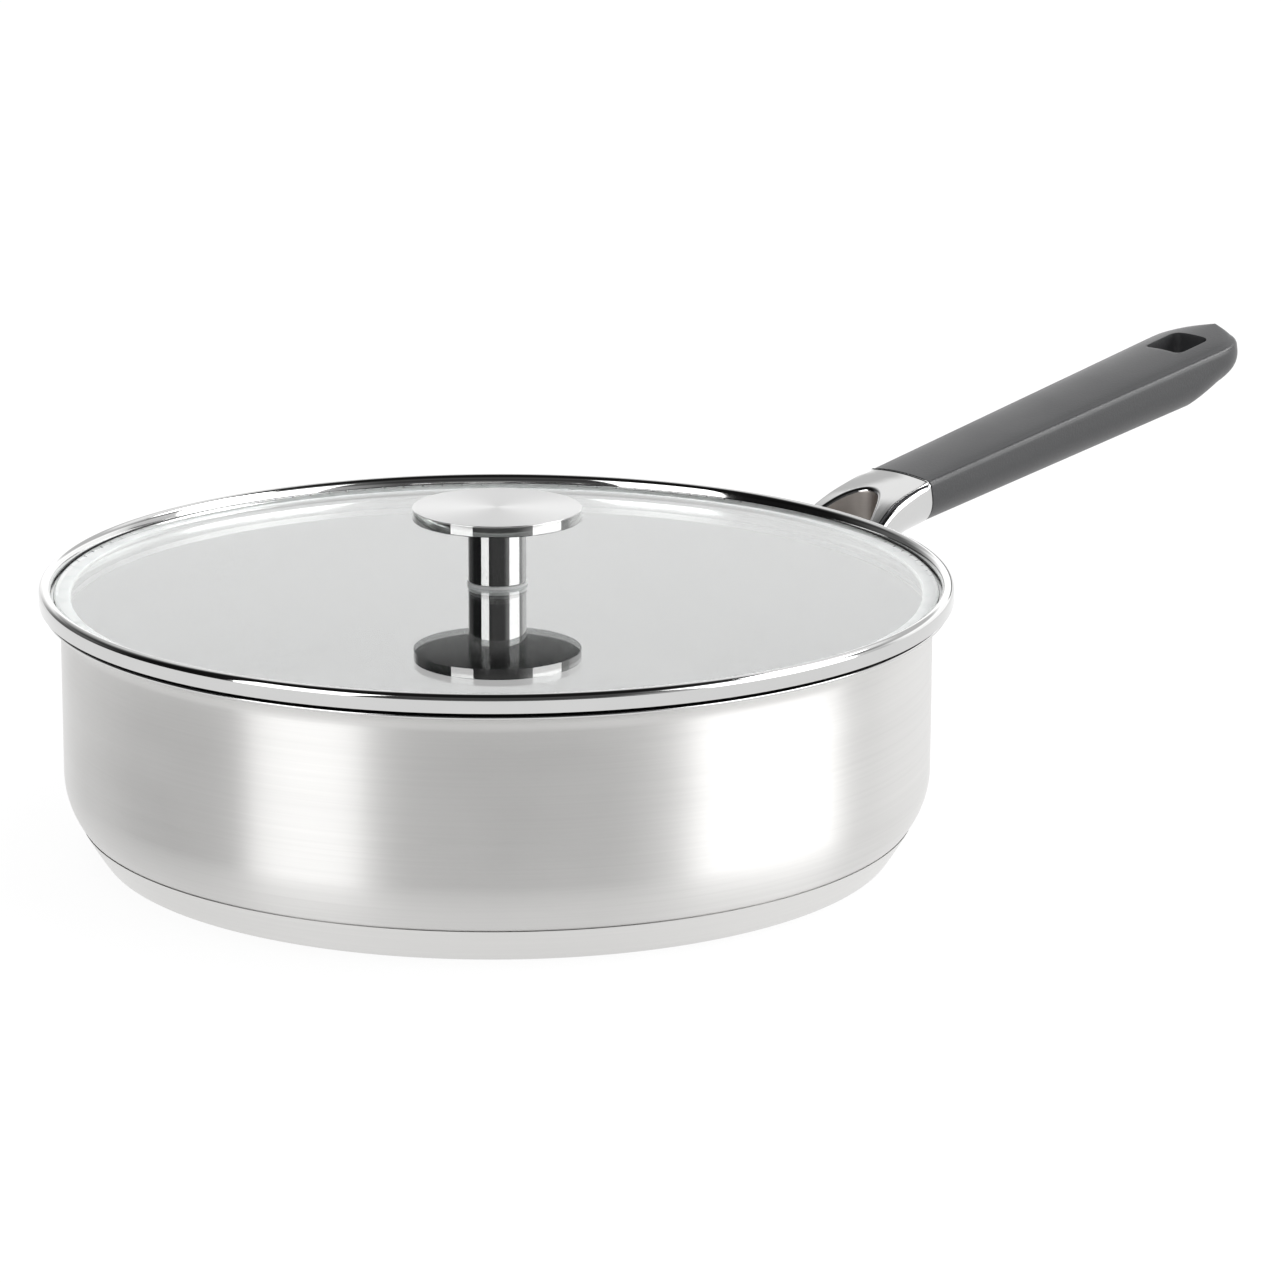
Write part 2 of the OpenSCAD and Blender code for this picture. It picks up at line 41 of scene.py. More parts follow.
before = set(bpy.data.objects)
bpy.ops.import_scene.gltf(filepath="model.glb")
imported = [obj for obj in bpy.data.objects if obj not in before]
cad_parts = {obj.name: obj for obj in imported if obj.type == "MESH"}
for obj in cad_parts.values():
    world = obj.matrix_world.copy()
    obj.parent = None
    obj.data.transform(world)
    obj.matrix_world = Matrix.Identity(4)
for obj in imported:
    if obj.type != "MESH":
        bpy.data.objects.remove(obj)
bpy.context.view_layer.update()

MM = 0.001
WALL_ROOM = 0.05 * MM  # between the wall and the bracket, whose foot and body are cut to it
PAN_BODY = "pan"
LID_BODY = "lid"


# Places that the construction settles


def low(node):
    """Lowest corner of a node, in metres."""
    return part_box(node)[0]


def high(node):
    """Highest corner of a node, in metres."""
    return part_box(node)[1]


# Settings


def size(name, description, value):
    """A length, given in millimetres."""
    return FloatProperty(name=name, description=description, default=value * MM, unit="LENGTH")


def fraction(name, description, value):
    """A share between nought and one."""
    return FloatProperty(name=name, description=description, default=value, min=0, max=1)


def level(name, description, value):
    """A brightness, as metal and glass show it."""
    return FloatProperty(name=name, description=description, default=value, min=0)


def tint(name, description, *rgb):
    """An opaque colour."""
    return FloatVectorProperty(name=name, description=description, subtype="COLOR", size=4,
                               default=(*rgb, 1.0), min=0, max=1)


class PanSizes(bpy.types.PropertyGroup):
    """Sizes of the vessel and its base"""

    wall_r: size("Wall radius", "Outer radius of the straight wall", 120)
    sheet: size("Sheet", "Thickness of the drawn steel", 1.0)
    lip_reach: size("Lip reach", "How far the pouring lip stands out", 4.6)
    corner_r: size("Corner radius", "Radius of the bottom corner", 22.3)
    corner_top: size("Corner top", "Height at which corner and wall meet", 23.2)
    groove: size("Groove", "Height of the groove above the base", 9.9)
    base: size("Base", "Height of the vessel's flat bottom", 6.0)
    lining: size("Lining", "Thickness of the cooking layer", 0.3)
    cap_sheet: size("Cap sheet", "Thickness of the cap under the core", 0.8)
    foot_inset: size("Foot inset", "How far the foot is drawn in from the groove", 6.6)
    steps: IntProperty(
        name="Steps", description="Facets round the pan", default=256, min=64, max=384)


class LidSizes(bpy.types.PropertyGroup):
    """Sizes of the lid and its knob"""

    band_w: size("Band width", "Width of the band seen from above", 3.6)
    band_face: size("Band face", "Height of the band's upright face", 3.15)
    band_sheet: size("Band sheet", "Thickness of the band's sheet", 0.55)
    glass_bevel: size("Glass bevel", "Bevel of the glass's lower edge", 1.2)
    hole_r: size("Glass hole", "Radius of the hole in the glass", 4.2)
    edge: size("Knob edge", "Rounding of the knob's edges", 0.2)
    disc_drop: size("Disc drop", "How far the disc's wall reaches below the solid's", 0.6)
    post_swell: size("Post swell", "How much wider than the solid the post is drawn", 0.35)


class HandleSizes(bpy.types.PropertyGroup):
    """Sizes of the bracket and the grip"""

    start_x: size("Grip start", "Distance from the pan's axis to the grip", 156.1)
    start_z: size("Grip height", "Height of the upper edges at the grip's front", 80.4)
    rise: FloatProperty(
        name="Rise", description="Rise of the handle", default=math.radians(10.6), unit="ROTATION")
    length: size("Grip length", "Length of the grip", 137.9)
    front_w: size("Front width", "Width of the grip at its front", 24.7)
    back_w: size("Back width", "Width of the grip before its tip", 30.5)
    front_t: size("Front thickness", "Thickness of the grip at its front", 14.4)
    back_t: size("Back thickness", "Thickness where the underside starts to rise", 15.7)
    tip_t: size("Tip thickness", "Thickness of the grip at its tip", 9.4)
    crown_front: size("Front crown", "Crown of the upper face at the grip's front", 0.9)
    crown_back: size("Back crown", "Crown of the upper face at the grip's tip", 2.0)
    taper: size("Tip taper", "Length of the rising underside", 26)
    tip_round: size("Tip length", "Length over which the tip rounds off", 14.1)
    fullness: FloatProperty(
        name="Tip fullness", description="2 is an ellipse, more is squarer", default=2.5, min=1.5, max=6)
    tip_edge: size("Tip edge", "Rounding under the tip", 3.0)
    belly: size("Lower edge", "Rounding along the lower edges", 9.7)
    edge: size("Upper edge", "Rounding along the upper edges", 1.5)
    hole_l: size("Hole length", "Length of the hanging hole", 14.2)
    hole_w: size("Hole width", "Width of the hanging hole", 14.6)
    hole_end: size("Hole end", "Distance from the grip's end to the hole", 10.6)
    hole_corner: size("Hole corner", "Radius of the hole's corners", 2.6)
    crease: size("Crease", "Step between deck and cheek", 0.8)
    cheek_drop: size("Cheek drop", "Height over which the cheek swells out", 1.8)
    recess_half: size("Recess half width", "Half the width of the recess at the wall", 10.5)
    recess_back: size("Recess back", "Steel left between recess and grip", 12.1)
    recess_end_r: size("Recess end", "Radius of the recess's round end", 4.5)
    recess_edge: size("Recess edge", "Rounding of the recess's upper edge", 1.3)
    foot_w: size("Foot width", "Width of the foot plate on the wall", 33)
    foot_h: size("Foot height", "Height of the foot plate", 13.5)
    foot_t: size("Foot thickness", "Thickness of the foot plate", 1.8)
    joint: size("Joint", "Joint between bracket and grip", 0.3)
    joint_bevel: size("Joint bevel", "Bevel of the bracket at the joint", 0.6)
    screw_depth: size("Screw depth", "Depth of the screw's axis", 6.8)
    screw_r: size("Screw radius", "Radius of the screw through the grip", 2.5)
    seat_r: size("Seat radius", "Radius of the seat for the screw's washer", 4.75)
    seat_l: size("Seat depth", "Depth of that seat from the hanging hole", 3.6)
    tenon_w: size("Tenon width", "Width of the bracket's tenon", 14)
    tenon_t: size("Tenon thickness", "Thickness of the bracket's tenon", 6.4)
    tenon_l: size("Tenon length", "Length of the bracket's tenon", 10)
    clearance: size("Clearance", "Room between bracket and lip", 0.5)


class Finishes(bpy.types.PropertyGroup):
    """Colours and roughness of the surfaces"""

    steel: tint("Steel", "Colour of the brushed steel", 0.70, 0.695, 0.685)
    bright_steel: tint("Bright steel", "Colour of the polished steel", 0.62, 0.62, 0.617)
    # Near-black seam colour: painted shade for the step along the bracket's deck and the gap under the lid's band
    seam_shade_steel: tint("Seam", "Colour of the painted shade in the step along the bracket's deck and in the lid band's gap", 0.035, 0.035, 0.038)
    # Knob underside colour darkened below the satin top: painted shade
    underside_shade_steel: tint("Underside shade steel", "Colour of the knob's underside, darkened as painted shade", 0.26, 0.26, 0.26)
    satin_steel: tint("Satin steel", "Colour of the knob's satin top", 0.56, 0.56, 0.558)
    # Darker, brownish steel for the recess walls: the brushed finish is real, the darkening is painted shade and
    # the brown is a painted reflection of the surroundings
    recess_shade_steel: tint("Recess shade steel", "Colour of the brushed recess, darkened and browned as painted shade and reflection", 0.46, 0.425, 0.40)
    lining: tint("Lining", "Colour of the cooking layer", 0.014, 0.014, 0.0145)
    grip: tint("Grip", "Colour of the moulded grip", 0.023, 0.0235, 0.025)
    aluminium: tint("Aluminium", "Colour of the base core", 0.78, 0.78, 0.79)
    silicone: tint("Silicone", "Colour of the clear washers", 0.86, 0.87, 0.87)
    brushed_roughness: fraction("Brushed roughness", "Roughness of the brushed wall", 0.36)
    polish_roughness: fraction("Polish roughness", "Roughness of the polished steel", 0.06)


class StageSettings(bpy.types.PropertyGroup):
    """Camera, floor and lamps"""

    lens: FloatProperty(
        name="Lens", description="Focal length in millimetres on a 36 mm sensor", default=152.87)
    camera_place: FloatVectorProperty(
        name="Camera place", description="Where the camera stands", default=(-0.9447, -1.1092, 0.44007), size=3,
        unit="LENGTH")
    camera_aim: FloatVectorProperty(
        name="Camera aim", description="Direction in which the camera looks", default=(0.64695, 0.71886, -0.25447),
        size=3)
    camera_roll: FloatProperty(
        name="Camera roll", description="Turn of the camera about its aim", default=math.radians(0.21),
        unit="ROTATION")
    box_radiance: level("Softbox radiance", "Brightness of the softboxes", 2.4)
    back_radiance: level("Back wall", "Brightness of the white wall behind", 1.45)
    front_radiance: level("Front", "Brightness of the dark room behind the camera", 0.12)
    side_radiance: level("Right side", "Brightness of the room at the camera's right", 0.8)
    floor_white: fraction("Floor white", "How far the floor is washed out for the camera", 0.9)
    floor_glow: fraction("Floor glow", "How far the floor is washed out for metal and glass", 0.95)
    top_radiance: level("Top light", "Brightness of the wide top light, which only matt surfaces take", 1.2)
    high_radiance: level("High softbox", "Brightness of the high softbox at the right", 6.0)


# Mesh tools


def deselect():
    """Nothing selected, in object mode."""
    if bpy.context.object and bpy.context.object.mode != "OBJECT":
        bpy.ops.object.mode_set(mode="OBJECT")
    bpy.ops.object.select_all(action="DESELECT")


def pick(piece):
    """Makes one piece the selected and active one."""
    deselect()
    piece.select_set(True)
    bpy.context.view_layer.objects.active = piece


def apply_modifier(piece, kind, **settings):
    """Adds a modifier with these settings and applies it."""
    pick(piece)
    bpy.ops.object.modifier_add(type=kind)
    modifier = piece.modifiers[-1]
    for name, value in settings.items():
        setattr(modifier, name, value)
    bpy.ops.object.modifier_apply(modifier=modifier.name)


def begin(name):
    """Names the primitive just made and opens it for editing, all of it selected."""
    piece = bpy.context.object
    piece.name = name
    piece.data.name = name
    bpy.ops.object.mode_set(mode="EDIT")
    bpy.ops.mesh.select_mode(type="VERT")
    bpy.ops.mesh.select_all(action="SELECT")
    return piece


def start_point(name, place):
    """A new piece that is a single vertex, in edit mode, made from a primitive merged at its middle."""
    deselect()
    bpy.ops.mesh.primitive_plane_add(size=MM, location=(0, 0, 0))
    piece = begin(name)
    bpy.ops.mesh.merge(type="CENTER")
    bpy.ops.transform.translate(value=place)
    return piece


def close_up(piece, smooth_angle):
    """Merges doubles, turns the faces outwards and smooths by angle."""
    bpy.ops.mesh.select_all(action="SELECT")
    bpy.ops.mesh.remove_doubles(threshold=MM * 0.002)
    bpy.ops.mesh.select_all(action="SELECT")
    bpy.ops.mesh.normals_make_consistent(inside=False)
    bpy.ops.object.mode_set(mode="OBJECT")
    pick(piece)
    bpy.ops.object.shade_smooth_by_angle(angle=math.radians(smooth_angle))
    return piece


def turned(name, outline, steps, smooth_angle=30):
    """A piece turned about the pan's axis: a closed outline of (radius, height) is drawn and spun."""
    first = outline[0]
    piece = start_point(name, (first[0], 0, first[1]))
    for here, there in zip(outline, outline[1:]):
        step = (there[0] - here[0], 0, there[1] - here[1])
        bpy.ops.mesh.extrude_vertices_move(TRANSFORM_OT_translate={"value": step})
    bpy.ops.mesh.select_all(action="SELECT")
    if first[0] > 0 or outline[-1][0] > 0:
        mesh = bmesh.from_edit_mesh(piece.data)
        mesh.verts.ensure_lookup_table()
        mesh.edges.new((mesh.verts[0], mesh.verts[len(mesh.verts) - 1]))
        bmesh.update_edit_mesh(piece.data)
        bpy.ops.mesh.select_all(action="SELECT")
    bpy.ops.mesh.spin(steps=steps, angle=2 * math.pi, center=(0, 0, 0), axis=(0, 0, 1))
    return close_up(piece, smooth_angle)


def lofted(name, rings, smooth_angle=40):
    """A piece drawn out ring by ring: the first ring is a primitive circle pulled into shape, the others
    are extruded from it, and both ends are closed."""
    deselect()
    bpy.ops.mesh.primitive_circle_add(vertices=len(rings[0]), radius=10 * MM, fill_type="NGON")
    piece = begin(name)
    place_ring(piece, rings[0])
    for ring in rings[1:]:
        bpy.ops.mesh.extrude_region_move(TRANSFORM_OT_translate={"value": (MM, 0, 0)})
        place_ring(piece, ring)
    return close_up(piece, smooth_angle)


def place_ring(piece, ring):
    """Pulls the selected ring of vertices into shape, in its own order."""
    mesh = bmesh.from_edit_mesh(piece.data)
    chosen = sorted((v for v in mesh.verts if v.select), key=lambda v: v.index)
    for vertex, place in zip(chosen, ring):
        vertex.co = place
    bmesh.update_edit_mesh(piece.data)


def arc(x, z, r, start, end, steps=12):
    """Points (x, z) of a circular arc, angles in degrees."""
    angles = [math.radians(start + (end - start) * i / steps) for i in range(steps + 1)]
    return [(x + r * math.cos(a), z + r * math.sin(a)) for a in angles]


def mix(a, b, share):
    return a + (b - a) * share


def smooth(share):
    share = max(0.0, min(1.0, share))
    return share * share * (3 - 2 * share)


def volume(piece):
    """Signed volume inside a closed piece."""
    mesh = bmesh.new()
    mesh.from_mesh(piece.data)
    found = mesh.calc_volume(signed=True)
    mesh.free()
    return found


def boolean_cut(piece, cutter, operation="DIFFERENCE"):
    """Cuts or joins with a tool, and raises where the volume didn't change as that has to."""
    for body in (piece, cutter):
        if volume(body) < 0:
            body.data.flip_normals()
    name, before, tool = cutter.name, volume(piece), volume(cutter)
    apply_modifier(piece, "BOOLEAN", operation=operation, object=cutter, solver="MANIFOLD")
    bpy.data.objects.remove(cutter, do_unlink=True)
    gained = volume(piece) - before
    if operation == "DIFFERENCE":
        gained = -gained
    if not 0 < gained < 1.001 * tool:
        raise RuntimeError(f"{piece.name}: {operation} with {name} failed")


def fit_out(piece, body, slot, *nodes):
    """Rides on its body and stands for its nodes, which it hides; slot is not used."""
    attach(piece, body)
    if nodes:
        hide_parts(*nodes)
    return piece


def wear(piece, *names):
    """Gives a piece its materials by name, in order of slots."""
    piece.data.materials.clear()
    for name in names:
        piece.data.materials.append(material(name))


def finish_nodes(name, *nodes):
    """Gives the frame's own pieces a material by name."""
    for node in nodes:
        wear(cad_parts[node], name)


def paint_faces(piece, slot, test):
    """Gives the faces that pass a test of centre and normal another material slot."""
    for face in piece.data.polygons:
        if test(face.center, face.normal):
            face.material_index = slot


# Effects that several materials share


def feed(tree, node, inputs):
    """Sets a node's inputs: a socket is linked, anything else is set as a constant."""
    for name, value in inputs.items():
        if isinstance(value, bpy.types.NodeSocket):
            tree.links.new(value, node.inputs[name])
        else:
            node.inputs[name].default_value = value


def add_node(tree, kind, inputs, **settings):
    """A shader node with its settings and inputs."""
    node = tree.nodes.new("ShaderNode" + kind)
    for name, value in settings.items():
        setattr(node, name, value)
    feed(tree, node, inputs)
    return node


def math_node(tree, operation, a, b, clamp=False):
    """A Math node fed by sockets or numbers."""
    return add_node(tree, "Math", {0: a, 1: b}, operation=operation, use_clamp=clamp).outputs[0]


def noise_node(tree, vector, scale, detail, roughness=0.5):
    """A Noise Texture on a vector socket."""
    inputs = {"Vector": vector, "Scale": scale, "Detail": detail, "Roughness": roughness}
    return add_node(tree, "TexNoise", inputs).outputs["Fac"]


def ramp(tree, value, start, end, low_value=0.0, high_value=1.0, kind="SMOOTHSTEP"):
    """A step of a value socket between two limits."""
    inputs = {"Value": value, "From Min": start, "From Max": end, "To Min": low_value, "To Max": high_value}
    return add_node(tree, "MapRange", inputs, interpolation_type=kind).outputs["Result"]


def blend_surface(tree, share, first, second):
    """Shows a mix of two shaders as the material's surface."""
    blend = add_node(tree, "MixShader", {"Fac": share, 1: first, 2: second})
    tree.links.new(blend.outputs["Shader"], tree.nodes["Material Output"].inputs["Surface"])


def new_group(name, inputs, outputs):
    """An empty node group: its inputs are numbers with a default, or vectors where that is None."""
    group = bpy.data.node_groups.new(name, "ShaderNodeTree")
    for label, default in inputs.items():
        kind = "NodeSocketVector" if default is None else "NodeSocketFloat"
        socket = group.interface.new_socket(name=label, in_out="INPUT", socket_type=kind)
        if default is not None:
            socket.default_value = default
    for label in outputs:
        group.interface.new_socket(name=label, in_out="OUTPUT", socket_type="NodeSocketFloat")
    return group, group.nodes.new("NodeGroupInput").outputs, group.nodes.new("NodeGroupOutput")


def brushed_grain_group():
    """Fine lines that run round the axis, and slow bands across them."""
    group, given, end = new_group(
        "BrushedGrain", {"Vector": None, "Lines": 1.0, "Bands": 1.0}, ("Height", "Shade"))

    def streaks(stretch, detail, roughness, gain):
        stretched = add_node(group, "VectorMath", {0: given["Vector"], 1: stretch}, operation="MULTIPLY")
        noise = noise_node(group, stretched.outputs["Vector"], 1.0, detail, roughness)
        return math_node(group, "MULTIPLY", math_node(group, "SUBTRACT", noise, 0.5), given[gain])

    fine = streaks((26, 26, 5200), 3.0, 0.6, "Lines")
    streak = streaks((9, 9, 900), 4.0, 0.6, "Lines")
    band = streaks((5, 5, 60), 2.0, 0.5, "Bands")
    feed(group, end, {"Height": math_node(group, "ADD", fine, streak),
                      "Shade": math_node(group, "ADD", streak, band)})
    return group


def handling_marks_group():
    """Faint cloudy marks left by handling and wiping."""
    group, given, end = new_group("HandlingMarks", {"Vector": None, "Size": 40.0}, ("Mask", "Fine"))
    cloud = noise_node(group, given["Vector"], given["Size"], 5.0)
    feed(group, end, {"Mask": ramp(group, cloud, 0.42, 0.72, kind="LINEAR"),
                      "Fine": noise_node(group, given["Vector"], 900.0, 2.0)})
    return group


def speckle_group():
    """Small grains, as of a spark-eroded mould or a sprayed layer."""
    group, given, end = new_group("Speckle", {"Vector": None, "Scale": 2500.0}, ("Height", "Glints"))
    spots = add_node(group, "TexVoronoi", {"Vector": given["Vector"], "Scale": given["Scale"]})
    feed(group, end, {"Height": noise_node(group, given["Vector"], given["Scale"], 3.0),
                      "Glints": ramp(group, spots.outputs["Distance"], 0.22, 0.05, kind="LINEAR")})
    return group


GROUPS = {}


def effect(tree, kind, vector, **values):
    """Places a shared effect in a material with its own values."""
    makers = {"BrushedGrain": brushed_grain_group, "HandlingMarks": handling_marks_group, "Speckle": speckle_group}
    if kind not in GROUPS:
        GROUPS[kind] = makers[kind]()
    return add_node(tree, "Group", {"Vector": vector, **values}, node_tree=GROUPS[kind]).outputs


# Materials


def new_material(name):
    """A material with its Principled shader and Object coordinates."""
    material = bpy.data.materials.new(name)
    material.use_nodes = True
    tree = material.node_tree
    shader = tree.nodes["Principled BSDF"]
    place = tree.nodes.new("ShaderNodeTexCoord").outputs["Object"]
    return material, tree, shader, place


def varied(tree, base, amount, value):
    """base plus amount times a value socket."""
    return math_node(tree, "ADD", math_node(tree, "MULTIPLY", value, amount), base, clamp=True)


def shaded_colour(tree, colour, value, amount):
    """A colour made lighter and darker by a value socket that swings about nought."""
    shade = math_node(tree, "ADD", math_node(tree, "MULTIPLY", value, amount), 1.0)
    return add_node(tree, "HueSaturation", {"Color": colour, "Value": shade}).outputs["Color"]


def bumped(tree, shader, height, strength, distance):
    """A Bump node on the shader's normal."""
    bump = add_node(tree, "Bump", {"Strength": strength, "Distance": distance, "Height": height})
    tree.links.new(bump.outputs["Normal"], shader.inputs["Normal"])


def brushed_steel(name, colour, roughness, anisotropy, lines=1.0, bands=1.0, bump=0.12):
    """Steel brushed or turned round the pan's axis, its highlights stretched across the grain."""
    material, tree, shader, place = new_material(name)
    grain = effect(tree, "BrushedGrain", place, Lines=lines, Bands=bands)
    marks = effect(tree, "HandlingMarks", place, Size=22.0)
    rough = varied(tree, roughness, 0.10, grain["Shade"])
    feed(tree, shader, {
        "Metallic": 1.0,
        "Anisotropic": anisotropy,
        "Anisotropic Rotation": 0.25,
        "Tangent": add_node(tree, "Tangent", {}, direction_type="RADIAL", axis="Z").outputs["Tangent"],
        "Base Color": shaded_colour(tree, colour, grain["Shade"], 0.16),
        "Roughness": math_node(tree, "ADD", rough, math_node(tree, "MULTIPLY", marks["Mask"], 0.03)),
    })
    bumped(tree, shader, grain["Height"], bump, 0.02 * MM)
    return material


def plain_metal(name, colour, roughness, swing, spread, mark_size):
    """Metal with faint wiping marks in its colour and roughness."""
    material, tree, shader, place = new_material(name)
    marks = effect(tree, "HandlingMarks", place, Size=mark_size)
    clouds = math_node(tree, "SUBTRACT", marks["Mask"], 0.5)
    feed(tree, shader, {
        "Metallic": 1.0,
        "Base Color": shaded_colour(tree, colour, clouds, swing),
        "Roughness": varied(tree, roughness, spread, marks["Mask"]),
    })
    return material, tree, shader, place, marks


def polished_steel(name, colour, roughness, lines=0.0):
    """Steel polished bright, with faint wiping marks."""
    material, tree, shader, place, marks = plain_metal(name, colour, roughness, 0.03, 0.35 * roughness, 60.0)
    if lines:
        grain = effect(tree, "BrushedGrain", place, Lines=lines, Bands=0.0)
        bumped(tree, shader, grain["Height"], 0.1, 0.01 * MM)
    else:
        bumped(tree, shader, marks["Fine"], 0.02, 0.001 * MM)
    return material


def speckled(name, colour, roughness, specular, grain_scale, mark_size, glints, bump, depth):
    """A matt surface with fine grains: the sprayed cooking layer or the grip's spark-eroded moulding."""
    material, tree, shader, place = new_material(name)
    specks = effect(tree, "Speckle", place, Scale=grain_scale)
    marks = effect(tree, "HandlingMarks", place, Size=mark_size)
    feed(tree, shader, {
        "Base Color": shaded_colour(tree, colour, specks["Glints"], glints),
        "Specular IOR Level": specular,
        "Roughness": varied(tree, roughness, 0.06, marks["Mask"]),
    })
    bumped(tree, shader, specks["Height"], bump, depth)
    return material


def clear_glass():
    """Clear tempered glass that lets the lamps' light through."""
    material, tree, shader, place = new_material("ClearGlass")
    marks = effect(tree, "HandlingMarks", place, Size=26.0)
    feed(tree, shader, {
        "Base Color": (0.96, 0.985, 0.975, 1.0),
        "IOR": 1.5,
        "Transmission Weight": 1.0,
        "Roughness": varied(tree, 0.0, 0.02, marks["Mask"]),
    })
    path = add_node(tree, "LightPath", {})
    through = add_node(tree, "BsdfTransparent", {})
    blend_surface(tree, path.outputs["Is Shadow Ray"], shader.outputs["BSDF"], through.outputs["BSDF"])
    return material


def clear_silicone(colour):
    """Milky clear silicone."""
    material, tree, shader, place = new_material("ClearSilicone")
    marks = effect(tree, "HandlingMarks", place, Size=120.0)
    feed(tree, shader, {
        "Base Color": colour,
        "IOR": 1.41,
        "Transmission Weight": 0.4,
        "Roughness": varied(tree, 0.3, 0.1, marks["Mask"]),
    })
    bumped(tree, shader, marks["Fine"], 0.1, 0.01 * MM)
    return material


MATERIALS = {}


def material(name):
    """Makes each material once."""
    look = bpy.context.scene.pan_finishes
    makers = {
        "wall": lambda: brushed_steel("BrushedWall", look.steel, look.brushed_roughness, 0.96),
        "lip": lambda: polished_steel("PolishedLip", look.bright_steel, 0.12, lines=0.5),
        "cap": lambda: brushed_steel("TurnedCap", look.steel, 0.34, 0.75, lines=0.8, bands=0.4),
        "band": lambda: polished_steel("PolishedBand", look.bright_steel, look.polish_roughness),
        "bracket": lambda: polished_steel("PolishedBracket", look.bright_steel, 0.09),
        # Brushed recess steel whose dark brownish colour is painted shade and painted reflection
        "recess": lambda: brushed_steel("BrushedRecessShade", look.recess_shade_steel, 0.42, 0.3, lines=1.2, bands=1.6),
        # Near-black steel that paints shade into tight steps and gaps
        "seam_shade": lambda: brushed_steel("PaintedSeamShade", look.seam_shade_steel, 0.5, 0.0, lines=0.6, bands=0.4),
        # Darkened steel: painted shade on the knob's underside
        "underside": lambda: brushed_steel("TurnedUndersideShade", look.underside_shade_steel, 0.22, 0.3, lines=0.4, bands=0.2),
        "leg": lambda: brushed_steel("SatinLeg", look.steel, 0.4, 0.0, lines=0.3, bands=0.2),
        "disc": lambda: brushed_steel("SatinDisc", look.satin_steel, 0.30, 0.5, lines=0.4, bands=0.2,
                                      bump=0.06),
        "post": lambda: polished_steel("PolishedPost", look.bright_steel, 0.015),
        "screw": lambda: polished_steel("ScrewSteel", look.steel, 0.22, lines=0.8),
        "lining": lambda: speckled("CookingLayer", look.lining, 0.36, 0.3, 1500.0, 30.0, 1.6, 0.25, 0.03 * MM),
        "grip": lambda: speckled("MouldedGrip", look.grip, 0.38, 0.66, 1700.0, 35.0, 0.8, 0.6, 0.09 * MM),
        "glass": clear_glass,
        "silicone": lambda: clear_silicone(look.silicone),
        "core": lambda: plain_metal("CoreAluminium", look.aluminium, 0.38, 0.08, 0.1, 50.0)[0],
    }
    if name not in MATERIALS:
        MATERIALS[name] = makers[name]()
    return MATERIALS[name]


# Outlines of the turned pieces


def bowl_outline(pan, drawn_in):
    """The vessel's outer face from the axis to the wall, drawn in by a distance: a flat, two arcs."""
    corner_x = pan.wall_r - pan.corner_r
    join = math.degrees(math.asin((pan.corner_top - pan.groove) / pan.corner_r))
    join_x = corner_x + pan.corner_r * math.cos(math.radians(join))
    small_r = (pan.groove - pan.base) / (1 - math.sin(math.radians(join)))
    small_x = join_x - small_r * math.cos(math.radians(join))
    small_z = pan.base + small_r
    return ([(0.0, pan.base + drawn_in)]
            + arc(small_x, small_z, small_r - drawn_in, -90, -join, 12)
            + arc(corner_x, pan.corner_top, pan.corner_r - drawn_in, -join, 0, 20)[1:]), join_x


def rising(radius, z0, z1, steps):
    """Points straight up a wall."""
    return [(radius, mix(z0, z1, i / steps)) for i in range(1, steps)]


class PAN_OT_vessel(bpy.types.Operator):
    """Turns the steel vessel with its pouring lip"""

    bl_idname = "pan.vessel"
    bl_label = "Vessel"

    def execute(self, context):
        pan = context.scene.pan_sizes
        lip_x = pan.wall_r + pan.lip_reach
        lip_z = high("pan_vessel").z - pan.sheet - pan.lip_reach
        outside, _ = bowl_outline(pan, 0.0)
        inside, _ = bowl_outline(pan, pan.sheet)
        round_end = arc(lip_x, lip_z + pan.lip_reach + pan.sheet / 2, pan.sheet / 2, -90, 90, 6)[1:-1]
        outside += rising(pan.wall_r, pan.corner_top, lip_z, 4)
        outside += arc(lip_x, lip_z, pan.lip_reach, 180, 90, 16)
        inside += rising(pan.wall_r - pan.sheet, pan.corner_top, lip_z, 4)
        inside += arc(lip_x, lip_z, pan.lip_reach + pan.sheet, 180, 90, 16)
        reach = high("pan_vessel").x - lip_x
        round_end = [(x - pan.sheet / 2 + max(reach, 0), z) for x, z in round_end]
        piece = turned("vessel", outside[:-1] + round_end + inside[::-1][1:], pan.steps, 40)
        wear(piece, "wall", "lip")
        ring_z = high("nonstick_lining").z
        edge_x = lip_x - MM
        paint_faces(piece, 1, lambda c, n: c.z > ring_z and (n.x * c.x + n.y * c.y < 0 or n.z > 0.2)
                    or math.hypot(c.x, c.y) > edge_x)
        fit_out(piece, PAN_BODY, "vessel_steel", "pan_vessel")
        return {"FINISHED"}


class PAN_OT_lining(bpy.types.Operator):
    """Turns the dark cooking layer inside the vessel"""

    bl_idname = "pan.lining"
    bl_label = "Cooking layer"

    def execute(self, context):
        pan = context.scene.pan_sizes
        top = high("nonstick_lining").z
        outside, _ = bowl_outline(pan, pan.sheet + 0.01 * MM)
        inside, _ = bowl_outline(pan, pan.sheet + pan.lining)
        outside += rising(pan.wall_r - pan.sheet - 0.01 * MM, pan.corner_top, top, 3)
        outside += [(pan.wall_r - pan.sheet - 0.01 * MM, top)]
        inside += rising(pan.wall_r - pan.sheet - pan.lining, pan.corner_top, top, 3)
        inside += [(pan.wall_r - pan.sheet - pan.lining, top)]
        piece = turned("cooking_layer", outside + inside[::-1], pan.steps, 40)
        wear(piece, "lining")
        fit_out(piece, PAN_BODY, "cooking_layer", "nonstick_lining")
        return {"FINISHED"}


